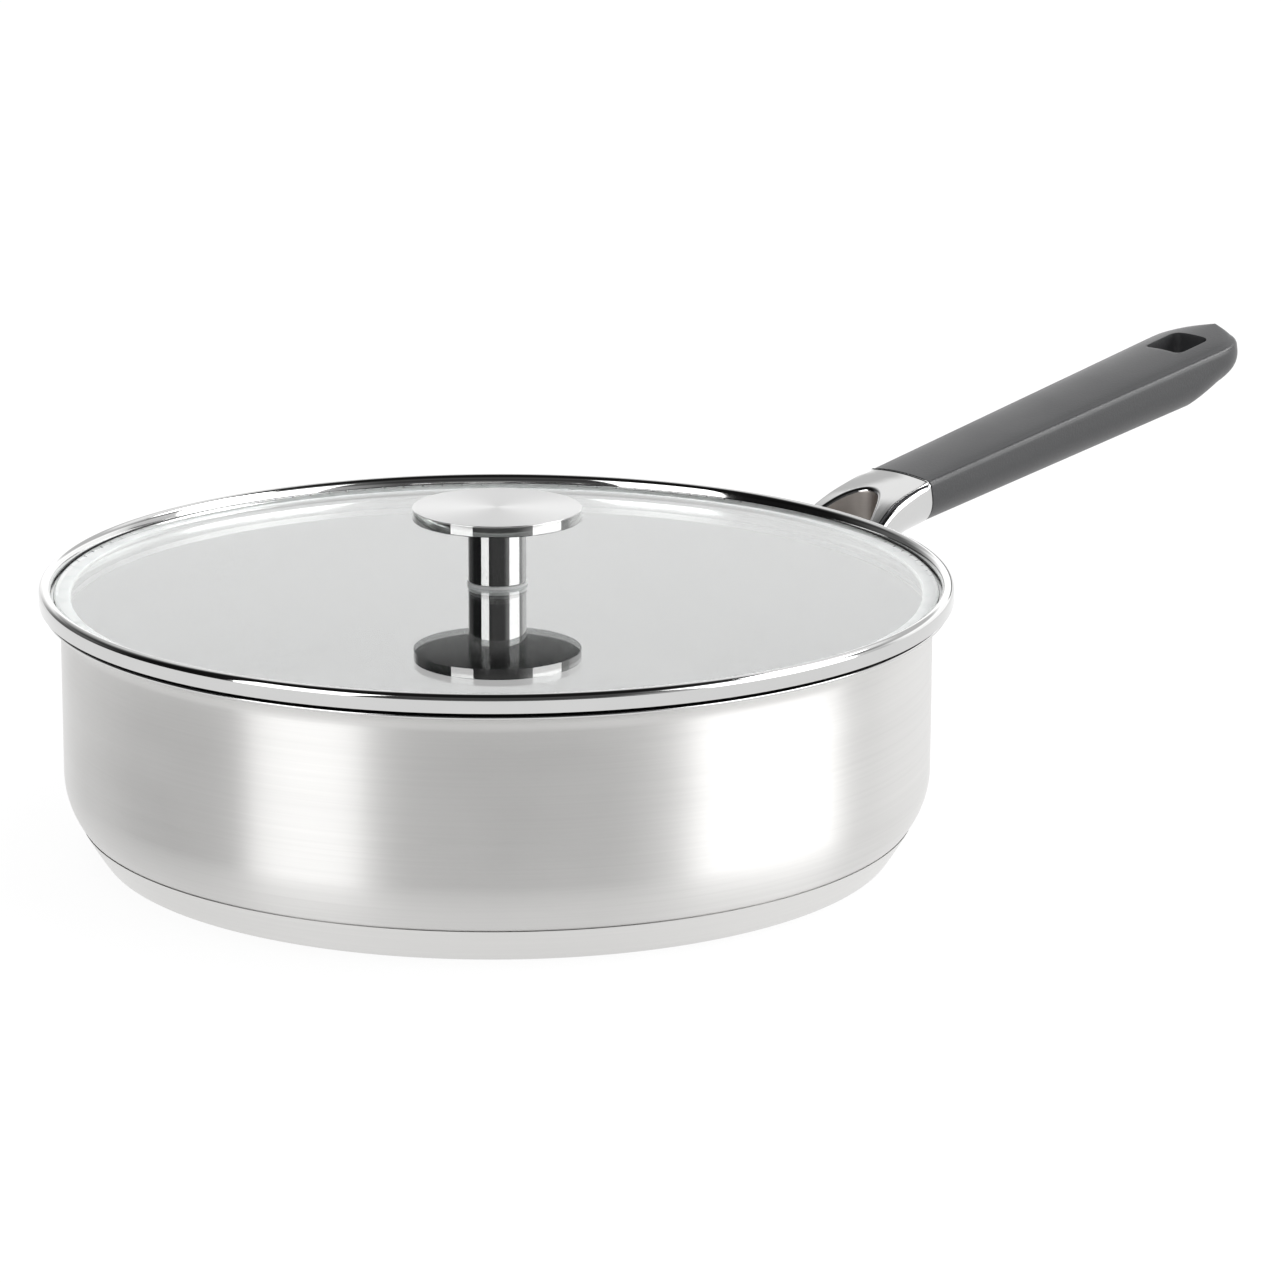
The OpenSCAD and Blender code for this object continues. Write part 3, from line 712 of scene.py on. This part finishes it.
class PAN_OT_base(bpy.types.Operator):
    """Turns the base's cap, with its rounded foot and the groove under the vessel"""

    bl_idname = "pan.base"
    bl_label = "Base cap"

    def execute(self, context):
        pan = context.scene.pan_sizes
        bowl, join_x = bowl_outline(pan, -0.02 * MM)
        foot = join_x - pan.foot_inset
        top = high("base_cap").z
        low_r, low_z = foot + 1.5 * MM, 1.2 * MM
        side = [(mix(low_r, join_x, i / 8) + 0.15 * MM * math.sin(math.pi * i / 8), mix(low_z, top, i / 8))
                for i in range(9)]
        edge = arc(foot, low_z, 1.2 * MM, -90, -40, 5)
        outside = [(0.0, 0.0), (foot * 0.9, 0.0)] + edge + side
        seat = [(x, z) for x, z in bowl if z < top and x > foot]
        inner = [(low_r - pan.cap_sheet, low_z), (foot - pan.cap_sheet, pan.cap_sheet), (0.0, pan.cap_sheet)]
        inner = [(min(seat[0][0], join_x - 1.6 * MM), seat[0][1])] + inner if seat else inner
        piece = turned("base_shell", outside + seat[::-1] + inner, pan.steps, 25)
        wear(piece, "cap")
        fit_out(piece, PAN_BODY, "base_steel", "base_cap")
        finish_nodes("core", "base_core")
        return {"FINISHED"}


class PAN_OT_band(bpy.types.Operator):
    """Turns the lid's rolled band"""

    bl_idname = "pan.band"
    bl_label = "Lid band"

    def execute(self, context):
        lid = context.scene.lid_sizes
        pan = context.scene.pan_sizes
        reach = min(high("lid_rim").x, -low("lid_rim").x)
        crest = high("lid_rim").z
        leg_low = low("lid_rim").z
        shoulder = 1.8 * MM
        face_low = crest - shoulder - lid.band_face
        inner = reach - lid.band_w
        t = lid.band_sheet
        leg_out = high("lid_glass").x - lid.glass_bevel - 0.1 * MM
        leg_in = leg_out - 3.4 * MM
        crest_x = reach - shoulder
        roll = arc(crest_x, crest - shoulder, shoulder, 0, 90, 14)
        fall = [(crest_x - 0.55 * MM, crest - 0.12 * MM), (inner + 0.75 * MM, crest - 0.55 * MM),
                (inner + 0.42 * MM, crest - 1.1 * MM), (inner + 0.2 * MM, crest - 1.9 * MM),
                (inner, crest - 2.9 * MM)]
        inside = [(inner, face_low + 0.4 * MM), (leg_out - 0.1 * MM, leg_low + t), (leg_in, leg_low + t)]
        back = [(leg_in, leg_low), (leg_out, leg_low), (inner + t, face_low + 0.2 * MM),
                (inner + t, crest - 2.9 * MM), (inner + t + 0.5 * MM, crest - 1.4 * MM)]
        back += arc(crest_x, crest - shoulder, shoulder - t, 90, 0, 8)
        hem = [(reach - t, face_low + t), (reach - 1.1 * MM, face_low + t), (reach - 1.1 * MM, face_low)]
        corner = arc(reach - 0.25 * MM, face_low + 0.25 * MM, 0.25 * MM, -90, 0, 4)
        piece = turned("lid_band", back + hem + corner + roll + fall + inside, pan.steps, 35)
        wear(piece, "band", "leg", "seam_shade")
        paint_faces(piece, 1, lambda c, n: c.z < leg_low + 2.4 * MM and math.hypot(c.x, c.y) < inner + 0.3 * MM)
        # Hem underside and band inside take the near-black seam material: painted shade in the gap over the lip
        paint_faces(piece, 2, lambda c, n: (n.z < -0.9 and abs(c.z - face_low) < 0.05 * MM)
                    or (n.x * c.x + n.y * c.y > 0 and c.z < crest - 1.2 * MM
                        and math.hypot(c.x, c.y) < reach - 0.5 * MM))
        fit_out(piece, LID_BODY, "band_steel", "lid_rim")
        finish_nodes("silicone", "rim_gasket")
        return {"FINISHED"}


class PAN_OT_glass(bpy.types.Operator):
    """Turns the glass with its hole and ground edges"""

    bl_idname = "pan.glass"
    bl_label = "Lid glass"

    def execute(self, context):
        lid = context.scene.lid_sizes
        pan = context.scene.pan_sizes
        outer, top = high("lid_glass").x, high("lid_glass").z
        under = low("lid_glass").z
        rounding = [(outer - 1.2 * MM, top)] + arc(outer - MM, top - MM, MM, 90, 0, 6)
        edge = rounding + [(outer, under + lid.glass_bevel), (outer - lid.glass_bevel, under)]
        hole = [(lid.hole_r + 0.3 * MM, under), (lid.hole_r, under + 0.3 * MM), (lid.hole_r, top - 0.3 * MM),
                (lid.hole_r + 0.3 * MM, top)]
        piece = turned("lid_pane", hole + edge, pan.steps, 20)
        wear(piece, "glass")
        fit_out(piece, LID_BODY, "clear_glass", "lid_glass")
        return {"FINISHED"}


class PAN_OT_knob(bpy.types.Operator):
    """Turns the knob's disc and post and finishes its fasteners"""

    bl_idname = "pan.knob"
    bl_label = "Knob"

    def execute(self, context):
        lid = context.scene.lid_sizes
        e = lid.edge
        r, top, seat = high("knob_disc").x, high("knob_disc").z, low("knob_disc").z
        under = seat - lid.disc_drop
        bore, bore_top = 3.05 * MM, mix(seat, top, 0.5)
        post_r, post_top, foot = high("knob_post").x + lid.post_swell, seat, low("knob_post").z
        hollow = post_r + 0.02 * MM
        flat = 0.08 * MM
        outline = ([(0.0, bore_top), (bore, bore_top), (bore, seat), (hollow, seat), (hollow, under)]
                   + arc(r - e, under + e, e, -90, 0, 5) + [(r, under + e + flat), (r, top - e - flat)]
                   + arc(r - e, top - e, e, 0, 90, 5) + [(r - e - flat, top), (0.0, top)])
        disc = turned("knob_plate", outline, 192, 50)
        wear(disc, "disc", "post", "underside")
        paint_faces(disc, 1, lambda c, n: abs(n.z) < 0.97)
        # Downward faces take the darkened steel: painted shade under the disc
        paint_faces(disc, 2, lambda c, n: n.z < -0.97)
        fit_out(disc, LID_BODY, "knob_steel", "knob_disc")
        b = 0.3 * MM
        thread_r, thread_top = 2.55 * MM, foot + 10 * MM
        pin_r, pin_top = 3.0 * MM, high("knob_post").z
        outline = ([(0.0, thread_top), (thread_r, thread_top), (thread_r, foot)]
                   + arc(post_r - b, foot + b, b, -90, 0, 4)
                   + [(post_r, foot + b + flat), (post_r, post_top), (pin_r, post_top), (pin_r, pin_top),
                      (0.0, pin_top)])
        post = turned("knob_column", outline, 128, 50)
        wear(post, "post")
        fit_out(post, LID_BODY, "post_steel", "knob_post")
        finish_nodes("silicone", "knob_washer_top", "knob_washer_bottom")
        finish_nodes("screw", "knob_plate_washer", "knob_screw")
        return {"FINISHED"}


# Handle


def grip_half_w(handle, x):
    """Half the grip's width at a distance from its front."""
    straight = handle.length - handle.tip_round
    full = mix(handle.front_w, handle.back_w, min(1.0, x / straight)) / 2
    over = 0.999 * max(0.0, x - straight) / handle.tip_round
    return full * (1 - over ** handle.fullness) ** (1 / handle.fullness)


def grip_t(handle, x):
    """Thickness of the grip at a distance from its front."""
    start = handle.length - handle.taper
    if x < start:
        return mix(handle.front_t, handle.back_t, x / start)
    share = (x - start) / handle.taper
    over = max(0.0, x - handle.length + handle.tip_edge)
    edge = handle.tip_edge - math.sqrt(max(0.0, handle.tip_edge ** 2 - over ** 2))
    return mix(handle.back_t, handle.tip_t, (share + smooth(share)) / 2) - edge


def both_sides(half):
    """A closed section from its one half, which runs from the middle above to the middle below."""
    return half + [(-y, z) for y, z in half[-2:0:-1]]


def grip_section(handle, x):
    """Crowned top, small upper edges, upright sides and round lower edges."""
    w, t = grip_half_w(handle, x), grip_t(handle, x)
    e = handle.edge
    r = min(handle.belly, t - 2 * e, w - e / 2)
    crown = mix(handle.crown_front, handle.crown_back, x / handle.length)
    top = [(w * u - e * u, crown * (1 - 0.8 * u ** 2 - 0.2 * u ** 8)) for u in (i / 10 for i in range(11))]
    edge = arc(w - e, -e, e, 90, 0, 5)[1:]
    side = [(w, mix(-e, r - t, i / 3)) for i in (1, 2)]
    belly = arc(w - r, r - t, r, 0, -90, 12)
    return both_sides(top + edge + side + belly + [(0.0, -t)])


def block(name, x0, x1, half_w, z0, z1, corner=0.0):
    """A block made from a cube, its upright edges bevelled round."""
    deselect()
    bpy.ops.mesh.primitive_cube_add(size=1, location=(0, 0, 0))
    piece = begin(name)
    bpy.ops.transform.resize(value=(x1 - x0, 2 * half_w, z1 - z0), center_override=(0, 0, 0))
    bpy.ops.transform.translate(value=((x0 + x1) / 2, 0, (z0 + z1) / 2))
    if corner:
        mesh = bmesh.from_edit_mesh(piece.data)
        bpy.ops.mesh.select_mode(type="EDGE")
        for edge in mesh.edges:
            a, b = edge.verts[0].co, edge.verts[1].co
            edge.select_set(abs(a.z - b.z) > (z1 - z0) / 2)
        bmesh.update_edit_mesh(piece.data)
        bpy.ops.mesh.bevel(offset=corner, segments=8, affect="EDGES")
    bpy.ops.object.mode_set(mode="OBJECT")
    return piece


def bar(name, handle, x0, x1, radius):
    """A round bar on the axis of the grip's screw, made from a cylinder."""
    deselect()
    bpy.ops.mesh.primitive_cylinder_add(vertices=64, radius=radius, depth=x1 - x0, location=(0, 0, 0))
    piece = begin(name)
    bpy.ops.transform.rotate(value=math.pi / 2, orient_axis="Y", center_override=(0, 0, 0))
    bpy.ops.transform.translate(value=((x0 + x1) / 2, 0, -handle.screw_depth))
    bpy.ops.object.mode_set(mode="OBJECT")
    return piece


def lay_along_grip(piece, handle):
    """Carries a piece from the grip's own line to its place."""
    turn = Matrix.Rotation(-handle.rise, 4, "Y")
    piece.data.transform(Matrix.Translation((handle.start_x, 0, handle.start_z)) @ turn)
    return piece


def tenon(name, handle, x0, x1, room):
    """The tenon's block, or with room round it the tenon's socket."""
    half_t, axis_z = handle.tenon_t / 2 + room, -handle.screw_depth
    return block(name, x0, x1, handle.tenon_w / 2 + room, axis_z - half_t, axis_z + half_t)


class PAN_OT_grip(bpy.types.Operator):
    """Draws out the moulded grip, cuts its hanging hole and makes room for tenon and screw"""

    bl_idname = "pan.grip"
    bl_label = "Grip"

    def execute(self, context):
        handle = context.scene.handle_sizes
        straight = handle.length - handle.tip_round
        start = handle.length - handle.taper
        stops = [start * i / 12 for i in range(13)] + [mix(start, straight, i / 6) for i in range(1, 6)]
        stops += [handle.length - handle.tip_round * (1 - math.sin(math.radians(90 * i / 24))) for i in range(25)]
        rings = [[Vector((x, y, z)) for y, z in grip_section(handle, x)] for x in stops]
        grip = lofted("grip_shell", rings, 35)
        hole_x = handle.length - handle.hole_end - handle.hole_l
        depth = 2 * handle.back_t
        boolean_cut(grip, block("hole", hole_x, hole_x + handle.hole_l, handle.hole_w / 2, -depth, depth,
                                handle.hole_corner))
        apply_modifier(grip, "BEVEL", width=0.4 * MM, segments=3, limit_method="ANGLE",
                       angle_limit=math.radians(50))
        boolean_cut(grip, bar("channel", handle, -MM, hole_x, handle.screw_r + 0.25 * MM))
        boolean_cut(grip, bar("seat", handle, hole_x - handle.seat_l, hole_x + MM, handle.seat_r))
        boolean_cut(grip, tenon("socket", handle, -MM, handle.tenon_l + 0.15 * MM, 0.15 * MM))
        lay_along_grip(grip, handle)
        pick(grip)
        bpy.ops.object.shade_smooth_by_angle(angle=math.radians(35))
        wear(grip, "grip")
        fit_out(grip, PAN_BODY, "grip_plastic", "handle_grip")
        finish_nodes("screw", "handle_screw", "handle_washer")
        return {"FINISHED"}


# The bracket's stations from the wall to the grip: share of the way, deck height against the grip's line,
# deck half width, cheek half width, underside against the grip's line, in millimetres
BRACKET_STATIONS = [
    (-0.05, -13.5, 18.55, 19.55, -25.0),
    (0.10, -10.0, 17.15, 18.25, -23.0),
    (0.25, -6.8, 15.45, 16.65, -20.5),
    (0.40, -3.9, 13.95, 15.35, -18.2),
    (0.55, -1.8, 12.85, 14.25, -16.4),
    (0.70, -0.8, 12.35, 13.45, -15.2),
    (0.84, -0.3, 12.25, 12.95, -14.6),
    (0.95, -0.1, 12.15, 12.55, -14.4),
    (1.00, 0.0, 12.05, 12.35, -14.4),
    (1.10, 0.0, 12.05, 12.35, -14.4),
]
STEPS_PER_STATION = 6


def catmull(a, b, c, d, t):
    """A smooth value between b and c."""
    return 0.5 * (2 * b + (c - a) * t + (2 * a - 5 * b + 4 * c - d) * t * t + (3 * b - a - 3 * c + d) * t ** 3)


def bracket_station(i, t):
    """The values at a share t of the way from station i to the next."""
    last = len(BRACKET_STATIONS) - 1
    near = [BRACKET_STATIONS[max(0, min(last, i + k))] for k in (-1, 0, 1, 2)]
    return [catmull(*values, t) for values in zip(*near)]


def all_stations():
    """The stations with the steps between them, up to the grip's front."""
    steps = STEPS_PER_STATION
    return ([bracket_station(i, k / steps) for i in range(len(BRACKET_STATIONS) - 2) for k in range(steps)]
            + [BRACKET_STATIONS[-2]])


def stations_round(share):
    """The stations before and after a share of the way, and how far it lies between them."""
    table = all_stations()
    here, there = next(((a, b) for a, b in zip(table, table[1:]) if b[0] >= share), table[-2:])
    return here, there, (share - here[0]) / (there[0] - here[0])


def grip_line(handle, x):
    """Height of the grip's line over a place."""
    return handle.start_z + (x - handle.start_x) * math.tan(handle.rise)


def bracket_ring(handle, wall_r, values, back=0.0, inset=0.0):
    """One section of the bracket: crowned deck, step, cheek that swells, round underside. Near the grip the
    sections lean over until they stand square to it. There back sets a section back, and inset draws it in."""
    share, rise, deck, cheek, under = values
    x = wall_r + (handle.start_x - wall_r) * share
    line = grip_line(handle, x)
    top, bottom = line + rise * MM - inset, line + under * MM + inset
    deck, cheek = deck * MM - inset, cheek * MM - inset
    shoulder, blend = handle.edge, smooth((share - 0.84) / 0.16)

    def deck_top(y):
        over = max(0.0, y - cheek + shoulder)
        drop = shoulder - math.sqrt(max(0.0, shoulder ** 2 - over ** 2))
        return top + handle.crown_front * (1 - (y / deck) ** 2) - blend * drop

    ledge = deck_top(deck) - handle.crease * smooth((1 - share) / 0.06) - 0.05 * MM
    wide = min(ledge, top - handle.crease) - handle.cheek_drop
    r = min(handle.belly - inset, 0.9 * (wide - bottom))
    round_r = 0.5 * min(0.24 * MM, deck_top(deck) - ledge)
    stops = [(deck - 2 * MM) * i / 6 for i in range(7)] + [deck - 1.5 * MM, deck - MM, deck - 0.5 * MM]
    half = [(y, deck_top(y)) for y in stops + [deck - round_r]]
    half += arc(deck - round_r, deck_top(deck) - round_r, round_r, 60, 0, 2)
    half += [(mix(deck, cheek, math.sin(a)), mix(wide, ledge, math.cos(a)))
             for a in (math.pi / 2 * i / 8 for i in range(9))]
    half += arc(cheek - r, bottom + r, r, 0, -90, 10)[0 if wide > bottom + r + 0.01 * MM else 1:]
    half += [(0.0, bottom)]
    lean = math.tan(handle.rise) * max(0.0, min(1.0, (share - 0.8) / 0.2))
    return [Vector((x - back - (z - line) * lean, y, z)) for y, z in both_sides(half)]


def deck_height(handle, wall_r, x, y):
    """Height of the deck over a place seen from above."""
    here, there, t = stations_round((x - wall_r) / (handle.start_x - wall_r))
    t = max(0.0, t)
    deck = mix(here[2], there[2], t) * MM
    return grip_line(handle, x) + mix(here[1], there[1], t) * MM + handle.crown_front * (1 - (y / deck) ** 2)


def in_painted_seam_shade(handle, wall_r, centre, normal):
    """Whether a face stands in the step along the deck's edge, where the near-black seam colour paints shade."""
    share = (centre.x - wall_r) / (handle.start_x - wall_r)
    here, there, t = stations_round(share)
    deck = mix(here[2], there[2], t) * MM
    lowest = grip_line(handle, centre.x) + (mix(here[1], there[1], 0.5) - 2.2) * MM
    return (share < 0.975 and abs(abs(centre.y) - deck) < 0.15 * MM and abs(normal.z) < 0.55
            and centre.z > lowest)


def recess_outline(handle, wall_r, out):
    """The recess seen from above, widened by a distance: a parabola that opens towards the wall, then
    straight sides."""
    end_x = handle.start_x - handle.recess_back
    half = handle.recess_half
    points = []
    for i in range(-23, 24):
        y = half * i / 24
        slope = y / handle.recess_end_r
        square = out / math.sqrt(1 + slope * slope)
        points.append((end_x - y * slope / 2 + square, y + square * slope))
    side = half + out
    side_x = end_x - half * half / (2 * handle.recess_end_r)
    return [(0.8 * wall_r, -side), (side_x, -side)] + points + [(side_x, side), (0.8 * wall_r, side)]


class PAN_OT_bracket(bpy.types.Operator):
    """Draws out the polished bracket, cuts its recess and gives it foot and tenon"""

    bl_idname = "pan.bracket"
    bl_label = "Bracket"

    def execute(self, context):
        handle = context.scene.handle_sizes
        pan = context.scene.pan_sizes
        rings = [bracket_ring(handle, pan.wall_r, values) for values in all_stations()[:-1]]
        for i in range(5):
            a = math.radians(90 * i / 4)
            back = handle.joint + handle.joint_bevel * (1 - math.sin(a))
            rings.append(bracket_ring(handle, pan.wall_r, BRACKET_STATIONS[-2], back / math.cos(handle.rise),
                                      handle.joint_bevel * (1 - math.cos(a))))
        bracket = lofted("bracket_body", rings, 40)
        boolean_cut(bracket, self.recess_tool(handle, pan.wall_r))
        boolean_cut(bracket, self.room_tool(handle, pan))
        boolean_cut(bracket, self.foot(handle, pan), "UNION")
        peg = lay_along_grip(tenon("tenon", handle, -handle.joint - MM, handle.tenon_l, 0.0), handle)
        boolean_cut(bracket, peg, "UNION")
        thread = bar("thread", handle, -5 * MM, handle.tenon_l + MM, handle.screw_r + 0.05 * MM)
        boolean_cut(bracket, lay_along_grip(thread, handle))
        pick(bracket)
        bpy.ops.object.shade_smooth_by_angle(angle=math.radians(34))
        apply_modifier(bracket, "WEIGHTED_NORMAL", keep_sharp=True)
        wear(bracket, "bracket", "recess", "seam_shade")
        back = handle.start_x - handle.recess_back
        # Recess walls take the darker brownish steel: painted shade and reflection in the recess
        paint_faces(bracket, 1, lambda c, n: abs(c.y) < handle.recess_half + 0.1 * MM and c.x < back + 0.1 * MM
                    and c.x > pan.wall_r + MM and abs(n.z) < 0.3 and (n.x < -0.2 or n.y * c.y < -0.2 * abs(c.y)))
        # Faces in the step along the deck take the near-black seam material: painted shade in the crease
        paint_faces(bracket, 2, lambda c, n: pan.wall_r + MM < c.x and in_painted_seam_shade(handle, pan.wall_r, c, n))
        fit_out(bracket, PAN_BODY, "bracket_steel", "handle_bracket")
        return {"FINISHED"}

    def recess_tool(self, handle, wall_r):
        """A block with the recess's outline and a flare for the rounded upper edge, which follows the deck."""
        e = handle.recess_edge
        rings = [[Vector((x, y, wall_r / 3)) for x, y in recess_outline(handle, wall_r, 0.0)]]
        for i in range(9):
            a = math.radians(80 * i / 8)
            rings.append([Vector((x, y, deck_height(handle, wall_r, x, y) - e + e * math.sin(a)))
                          for x, y in recess_outline(handle, wall_r, e - e * math.cos(a))])
        flare = 4 * MM
        rings.append([Vector((x, y, deck_height(handle, wall_r, x, y) + flare * math.tan(math.radians(10))))
                      for x, y in recess_outline(handle, wall_r, e - e * math.cos(a) + flare)])
        rings.append([Vector((v.x, v.y, 0.8 * wall_r)) for v in rings[-1]])
        return lofted("recess", rings)

    def room_tool(self, handle, pan):
        """What the wall, the lip and the lid take up."""
        gap = handle.clearance
        lip_x = pan.wall_r + pan.lip_reach
        lip_top = high("pan_vessel").z
        lip_z = lip_top - pan.sheet - pan.lip_reach
        reach = high("lid_rim").x + gap
        wall = pan.wall_r + WALL_ROOM
        outline = [(0.0, 30 * MM), (wall, 30 * MM), (wall, lip_z)]
        outline += arc(lip_x, lip_z, pan.lip_reach - gap, 180, 90, 10)
        outline += [(reach, lip_top - pan.sheet - gap), (reach, 90 * MM), (0.0, 90 * MM)]
        return turned("room", outline, 360)

    def foot(self, handle, pan):
        """The plate that follows the wall, its outer edges rounded."""
        top = high("pan_vessel").z - pan.sheet - pan.lip_reach - handle.clearance
        under = top - handle.foot_h
        inner = pan.wall_r + WALL_ROOM
        outer = inner + handle.foot_t
        r = 0.6 * MM
        section = [(inner, under)] + arc(outer - r, under + r, r, -90, 0, 4)
        section += arc(outer - r, top - r, r, 0, 90, 4) + [(inner, top)]
        reach = math.asin(handle.foot_w / 2 / inner)
        angles = [reach * i / 20 for i in range(-20, 21)]
        rings = [[Vector((x * math.cos(a), x * math.sin(a), z)) for x, z in section] for a in angles]
        return lofted("foot", rings)


# Stage


def softbox(name, azimuth, elevation, distance, width, height, radiance, aim):
    """A rectangular lamp that faces a point, placed by its bearing from there. Azimuth 0 is towards the camera
    and grows to the camera's right."""
    scene = bpy.context.scene
    toward = -Vector(scene.pan_stage.camera_aim)
    heading = math.atan2(toward.y, toward.x) + math.radians(azimuth)
    e = math.radians(elevation)
    direction = Vector((math.cos(e) * math.cos(heading), math.cos(e) * math.sin(heading), math.sin(e)))
    data = bpy.data.lights.new(name, "AREA")
    data.shape = "RECTANGLE"
    data.size, data.size_y = width, height
    data.energy = radiance * 4 * width * height
    lamp = bpy.data.objects.new(name, data)
    scene.collection.objects.link(lamp)
    lamp.location = aim + direction * distance
    lamp.rotation_euler = (-direction).to_track_quat("-Z", "Y").to_euler()
    lamp.visible_camera = False
    return lamp


def along(tree, direction, axis):
    """How far a direction points along an axis."""
    return add_node(tree, "VectorMath", {0: direction, 1: axis}, operation="DOT_PRODUCT").outputs["Value"]


def studio_world(world, stage):
    """White to the camera. Metal and glass see a white wall behind, a light side at the right, a dark room
    in front and a dark ceiling."""
    world.use_nodes = True
    tree = world.node_tree
    shader = tree.nodes["Background"]
    direction = tree.nodes.new("ShaderNodeTexCoord").outputs["Generated"]
    aim = Vector(stage.camera_aim)
    aim.z = 0
    aim.normalize()
    side = aim.cross(Vector((0, 0, 1)))
    back = ramp(tree, along(tree, direction, aim), 0.15, 0.6, stage.front_radiance, stage.back_radiance)
    right = ramp(tree, along(tree, direction, side), 0.3, 0.95, 0.0, stage.side_radiance)
    dim = ramp(tree, along(tree, direction, side), -0.72, -0.22, 0.1, 1.0)
    height = along(tree, direction, Vector((0, 0, 1)))
    ceiling = ramp(tree, height, 0.72, 0.86, 1.0, 0.12)
    for start, end, share in ((0.19, 0.25, 1.1), (0.3, 0.37, 0.45), (0.5, 0.58, 1.7)):
        ceiling = math_node(tree, "MULTIPLY", ceiling, ramp(tree, height, start, end, 1.0, share))
    walls = math_node(tree, "MAXIMUM", math_node(tree, "MULTIPLY", back, dim), right)
    room = math_node(tree, "MULTIPLY", walls, ceiling)
    seen = add_node(tree, "LightPath", {}).outputs["Is Camera Ray"]
    strength = add_node(tree, "Mix", {"Factor": seen, "A": room, "B": 1.0}, data_type="FLOAT")
    feed(tree, shader, {"Strength": strength.outputs["Result"], "Color": (1, 1, 1, 1)})


def floor_material(stage):
    """Pale floor, washed out to white where nothing shades it."""
    floor = bpy.data.materials.new("PaleFloor")
    floor.use_nodes = True
    tree = floor.node_tree
    shader = tree.nodes["Principled BSDF"]
    feed(tree, shader, {"Base Color": (0.9, 0.9, 0.9, 1), "Roughness": 0.9, "Specular IOR Level": 0.0})
    glow = add_node(tree, "Emission", {})
    path = add_node(tree, "LightPath", {}).outputs
    mirrored = math_node(tree, "MAXIMUM", path["Is Glossy Ray"], path["Is Transmission Ray"])
    share = math_node(tree, "MAXIMUM", math_node(tree, "MULTIPLY", path["Is Camera Ray"], stage.floor_white),
                      math_node(tree, "MULTIPLY", mirrored, stage.floor_glow))
    blend_surface(tree, share, shader.outputs["BSDF"], glow.outputs["Emission"])
    return floor


class PAN_OT_stage(bpy.types.Operator):
    """Sets the floor, the soft lamps, the room and the camera"""

    bl_idname = "pan.stage"
    bl_label = "Stage"

    def execute(self, context):
        scene = context.scene
        stage = scene.pan_stage
        deselect()
        bpy.ops.mesh.primitive_circle_add(vertices=96, radius=12.0, fill_type="NGON", location=(0, 0, -0.02 * MM))
        floor = context.object
        floor.name = "floor"
        floor.data.materials.append(floor_material(stage))
        centre = Vector((0.03, 0, 0.06))
        softbox("SoftboxLeft", -48, 22, 1.9, 1.07, 1.5, stage.box_radiance, centre)
        softbox("SoftboxRight", 74, 22, 1.9, 1.66, 1.5, stage.box_radiance, centre)
        softbox("SoftboxHigh", 108, 46, 1.9, 0.8, 0.7, stage.high_radiance, centre)
        top = softbox("TopLight", 0, 90, 2.6, 6.0, 6.0, stage.top_radiance, centre)
        top.visible_glossy = False
        top.visible_transmission = False
        if scene.world is None:
            scene.world = bpy.data.worlds.new("Studio")
        studio_world(scene.world, stage)
        self.camera(scene, stage)
        scene.view_settings.view_transform = "Standard"
        return {"FINISHED"}

    def camera(self, scene, stage):
        """The camera at the photograph's place, with its long lens."""
        data = bpy.data.cameras.new("Camera")
        data.lens = stage.lens
        data.sensor_width = 36
        data.clip_start, data.clip_end = 0.05, 60
        camera = bpy.data.objects.new("Camera", data)
        scene.collection.objects.link(camera)
        aim = Vector(stage.camera_aim).normalized()
        right = aim.cross(Vector((0, 0, 1))).normalized()
        up = right.cross(aim)
        c, s = math.cos(stage.camera_roll), math.sin(stage.camera_roll)
        right, up = right * c + up * s, up * c - right * s
        turn = Matrix((right, up, -aim)).transposed().to_4x4()
        camera.matrix_world = Matrix.Translation(stage.camera_place) @ turn
        scene.camera = camera


class PAN_PT_panel(bpy.types.Panel):
    """Buttons for each piece of the pan"""

    bl_idname = "PAN_PT_panel"
    bl_label = "Saute pan"
    bl_space_type = "VIEW_3D"
    bl_region_type = "UI"
    bl_category = "Saute pan"

    def draw(self, context):
        for operator in OPERATORS:
            self.layout.operator(operator.bl_idname)
        for name in ("pan_sizes", "lid_sizes", "handle_sizes", "pan_finishes", "pan_stage"):
            box = self.layout.box()
            group = getattr(context.scene, name)
            for key in group.__annotations__:
                box.prop(group, key)


OPERATORS = (PAN_OT_vessel, PAN_OT_lining, PAN_OT_base, PAN_OT_band, PAN_OT_glass, PAN_OT_knob,
             PAN_OT_grip, PAN_OT_bracket, PAN_OT_stage)
GROUP_CLASSES = {"pan_sizes": PanSizes, "lid_sizes": LidSizes, "handle_sizes": HandleSizes,
                 "pan_finishes": Finishes, "pan_stage": StageSettings}


def register():
    for name, group in GROUP_CLASSES.items():
        bpy.utils.register_class(group)
        setattr(bpy.types.Scene, name, PointerProperty(type=group))
    for operator in OPERATORS:
        bpy.utils.register_class(operator)
    bpy.utils.register_class(PAN_PT_panel)


def unregister():
    bpy.utils.unregister_class(PAN_PT_panel)
    for operator in reversed(OPERATORS):
        bpy.utils.unregister_class(operator)
    for name, group in GROUP_CLASSES.items():
        delattr(bpy.types.Scene, name)
        bpy.utils.unregister_class(group)


def main():
    register()
    bpy.ops.pan.vessel()
    bpy.ops.pan.lining()
    bpy.ops.pan.base()
    bpy.ops.pan.band()
    bpy.ops.pan.glass()
    bpy.ops.pan.knob()
    bpy.ops.pan.grip()
    bpy.ops.pan.bracket()
    bpy.ops.pan.stage()
    deselect()


if __name__ == "__main__":
    main()
